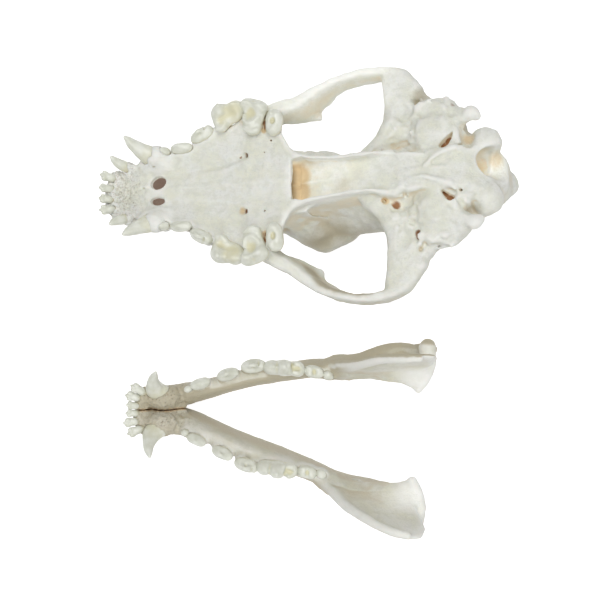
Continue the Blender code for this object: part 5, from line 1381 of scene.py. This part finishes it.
def build_jaw(finish):
    """Both halves of the lower jaw from one, each bent and tinted for its own side."""
    turn = Matrix.Rotation(JAW_YAW, 3, "Z")
    b = Block((-7, -2, -2), (143, 52, 68), BONE_PITCH)
    jaw_bone(b)
    jaw_hollows(b)
    set_teeth(b, LOWER_ROW)
    b.trim_side(HALF_SEAM)
    points, faces = finished_skin(b, JAW_FACES)
    u, v = points.T[:2]
    near = b.sample(b.crowding(CREASE), points)
    wide = b.sample(b.crowding(JAW_CAVITY), points)
    seam = ramp(u, 30, -3)
    slope = np.clip((0.80 - facing(points, faces, (0, 0, 1))) * 1.2, 0, 0.7)
    lean = facing(points, faces, (0, 1, 0))
    outer = np.clip(lean * 2 - 0.4, 0, 1) * ramp(u, 70, 10)
    joint = np.clip(blobs(points, [(129, 31, 32, 11, 1.6)]), 0, 0.9)
    # painted shade: slopes, outer faces, wide hollows and creases are made creamy, over a faint creamy
    # tint of the jaw's own, with less at the joint
    cream_and_shade = 0.2 + slope + outer * 0.6 + (wide - 0.5) * 2.0 + (near - 0.52) * 2.0 - joint
    marks = {"cream_and_shade": np.clip(cream_and_shade, 0, 1), "tan_stain_and_shade": seam * ramp(v, 1.5, -1.2) * 0.8,
             "brown": seam * ramp(v, 0.45, -0.25), "rose_shade": np.zeros(len(points)),
             "porous": ramp(u, 24, -10),
             # painted highlight on convex edges, and wear on the jaw joint
             "edge_light_and_wear": np.clip((0.46 - near) * 6, 0, 0.8) + blobs(points, [(128, 28, 34, 10, 0.8)]),
             # painted light: a faint glow round the jaw joint
             "painted_glow": blobs(points, [(124, 30, 34, 16, 0.3)])}
    for side, name in ((-1, "mandible_left"), (1, "mandible_right")):
        there = sway(points * (1, side, 1))
        # painted olive beige shade, strong on one half and faint on the other
        marks["drab_shade"] = jaw_drab_shade(points, lean, outer, side) * (1 - joint)
        piece(name, to_world(there, turn, JAW_AT), faces[:, ::side], marks, finish, "jaw_bone")
    return turn


# yellow green patches on the teeth, in their own axes
TINTS = {
    "upper_p4": [(3.0, -1.0, 3.4, 5.4, 0.85), (-3.0, -3.6, 2.8, 4.0, 0.6)],
    "upper_m1": [(-0.2, 0.8, 2.4, 3.0, 0.7)], "upper_m2": [(0.1, -0.2, 2.0, 2.0, 0.6)],
    "lower_m1": [(6, 0, 3, 3.0, 0.5)], "lower_m2": [(0, 0, 2.6, 2.0, 0.4)],
    "upper_canine": [(0.4, 0, 0, 8.0, 0.7)], "lower_canine": [(-0.4, 0, 1, 8.0, 0.7)],
    "upper_i3": [(0, 0, 0, 4.0, 0.6)]}


def build_teeth(rows, bend, turn, at, finish):
    """Every tooth of the rows, once for each side, bent and turned as its bone is."""
    for row in rows:
        kind = row[0]
        shapes = TEETH[kind]
        whole = together(shapes)
        b = Block(whole[0] - TOOTH_ROOM, whole[1] + TOOTH_ROOM, TOOTH_PITCH)
        for shape, blend in shapes:
            b.join(shape, blend)
        b.roughen(2.2, 0.12, 31)
        for shape, blend in HOLLOWS_IN_TEETH.get(kind, []):
            b.carve(shape, blend)
        points, faces = finished_skin(b, TOOTH_FACES)
        near = b.sample(b.crowding(BASIN), points)
        # painted shade in the hollows of the crown, with the yellow green patches added
        marks = {"basin_tint_and_shade": np.clip((near - 0.5) * 5, 0, 1) + blobs(points, TINTS.get(kind, [])),
                 "neck": ramp(points[:, 2], 2.2, -3.0)}
        there = points @ tooth_frame(row).T + np.array(row[1])
        for side, hand in SIDES[kind[:5]]:
            final = bend(there * (1, side, 1))
            piece(kind + "_" + hand, to_world(final, turn, at), faces[:, ::side], marks, finish, "enamel")


# sky strength low and high, and between which heights of view it fades;
# softboxes as name, place, size and watts
SKY = (0.56, 0.42)
SKY_FADE = (-0.3, 0.9)
SOFTBOXES = [("overhead_softbox", (-0.12, 0.3, 1.0), 0.6, 4.5),
             ("fill_softbox", (0.2, -0.6, 0.8), 0.6, 3.0)]
FLOOR_REACH = 4.0
FLOOR_DROP = 0.0003


def build_floor():
    mesh = bpy.data.meshes.new("floor")
    corners = [(x * FLOOR_REACH, y * FLOOR_REACH, 0) for x, y in ((-1, -1), (1, -1), (1, 1), (-1, 1))]
    mesh.from_pydata(corners, [], [(0, 1, 2, 3)])
    f = Finish("white_floor")
    f.set(Base_Color=(0.6, 0.6, 0.6), Roughness=0.9, Emission_Color=(1.0, 1.0, 1.0),
          Emission_Strength=0.85)
    mesh.materials.append(f.material)
    floor = bpy.data.objects.new("floor", mesh)
    floor.location.z = -FLOOR_DROP
    floor.visible_diffuse = False
    bpy.context.scene.collection.objects.link(floor)


def build_room():
    """Even sky, two softboxes and the camera straight overhead."""
    scene = bpy.context.scene
    scene.world = bpy.data.worlds.new("soft_room")
    scene.world.use_nodes = True
    tree = scene.world.node_tree
    toward = tree.nodes.new("ShaderNodeTexCoord")
    parts = tree.nodes.new("ShaderNodeSeparateXYZ")
    fade = tree.nodes.new("ShaderNodeMapRange")
    for socket, value in zip(("From Min", "From Max", "To Min", "To Max"), SKY_FADE + SKY):
        fade.inputs[socket].default_value = value
    tree.links.new(toward.outputs["Generated"], parts.inputs["Vector"])
    tree.links.new(parts.outputs["Z"], fade.inputs["Value"])
    tree.links.new(fade.outputs["Result"], tree.nodes["Background"].inputs["Strength"])
    tree.nodes["Background"].inputs["Color"].default_value = (1.0, 1.0, 1.0, 1.0)
    for name, place, size, power in SOFTBOXES:
        lamp = bpy.data.lights.new(name, "AREA")
        lamp.shape = "SQUARE"
        lamp.size = size
        lamp.energy = power
        item = bpy.data.objects.new(name, lamp)
        item.location = place
        item.rotation_euler = (-Vector(place)).to_track_quat("-Z", "Y").to_euler()
        scene.collection.objects.link(item)
    lens = bpy.data.cameras.new("camera")
    lens.lens = LENS
    lens.sensor_width = SENSOR
    lens.clip_start = NEAR_CLIP
    camera = bpy.data.objects.new("camera", lens)
    camera.location = [a * MM for a in CAMERA_AT]
    scene.collection.objects.link(camera)
    scene.camera = camera
    scene.view_settings.view_transform = "Standard"


BONE_RELIEF = relief_tree()
bleached = bone_finish("bleached_bone", (0.0, SKULL_PITCH, -SKULL_YAW),
                       (0.755, 0.76, 0.715), (0.72, 0.66, 0.52))
creamy = bone_finish("cream_bone", (0.0, 0.0, -JAW_YAW), (0.70, 0.69, 0.62), (0.60, 0.54, 0.41))
enamel = enamel_finish("tooth_enamel")
skull_turn = build_cranium(bleached)
jaw_turn = build_jaw(creamy)
build_teeth(UPPER_ROW, lean_aside, skull_turn, SKULL_AT, enamel)
build_teeth(LOWER_ROW, sway, jaw_turn, JAW_AT, enamel)
build_floor()
build_room()
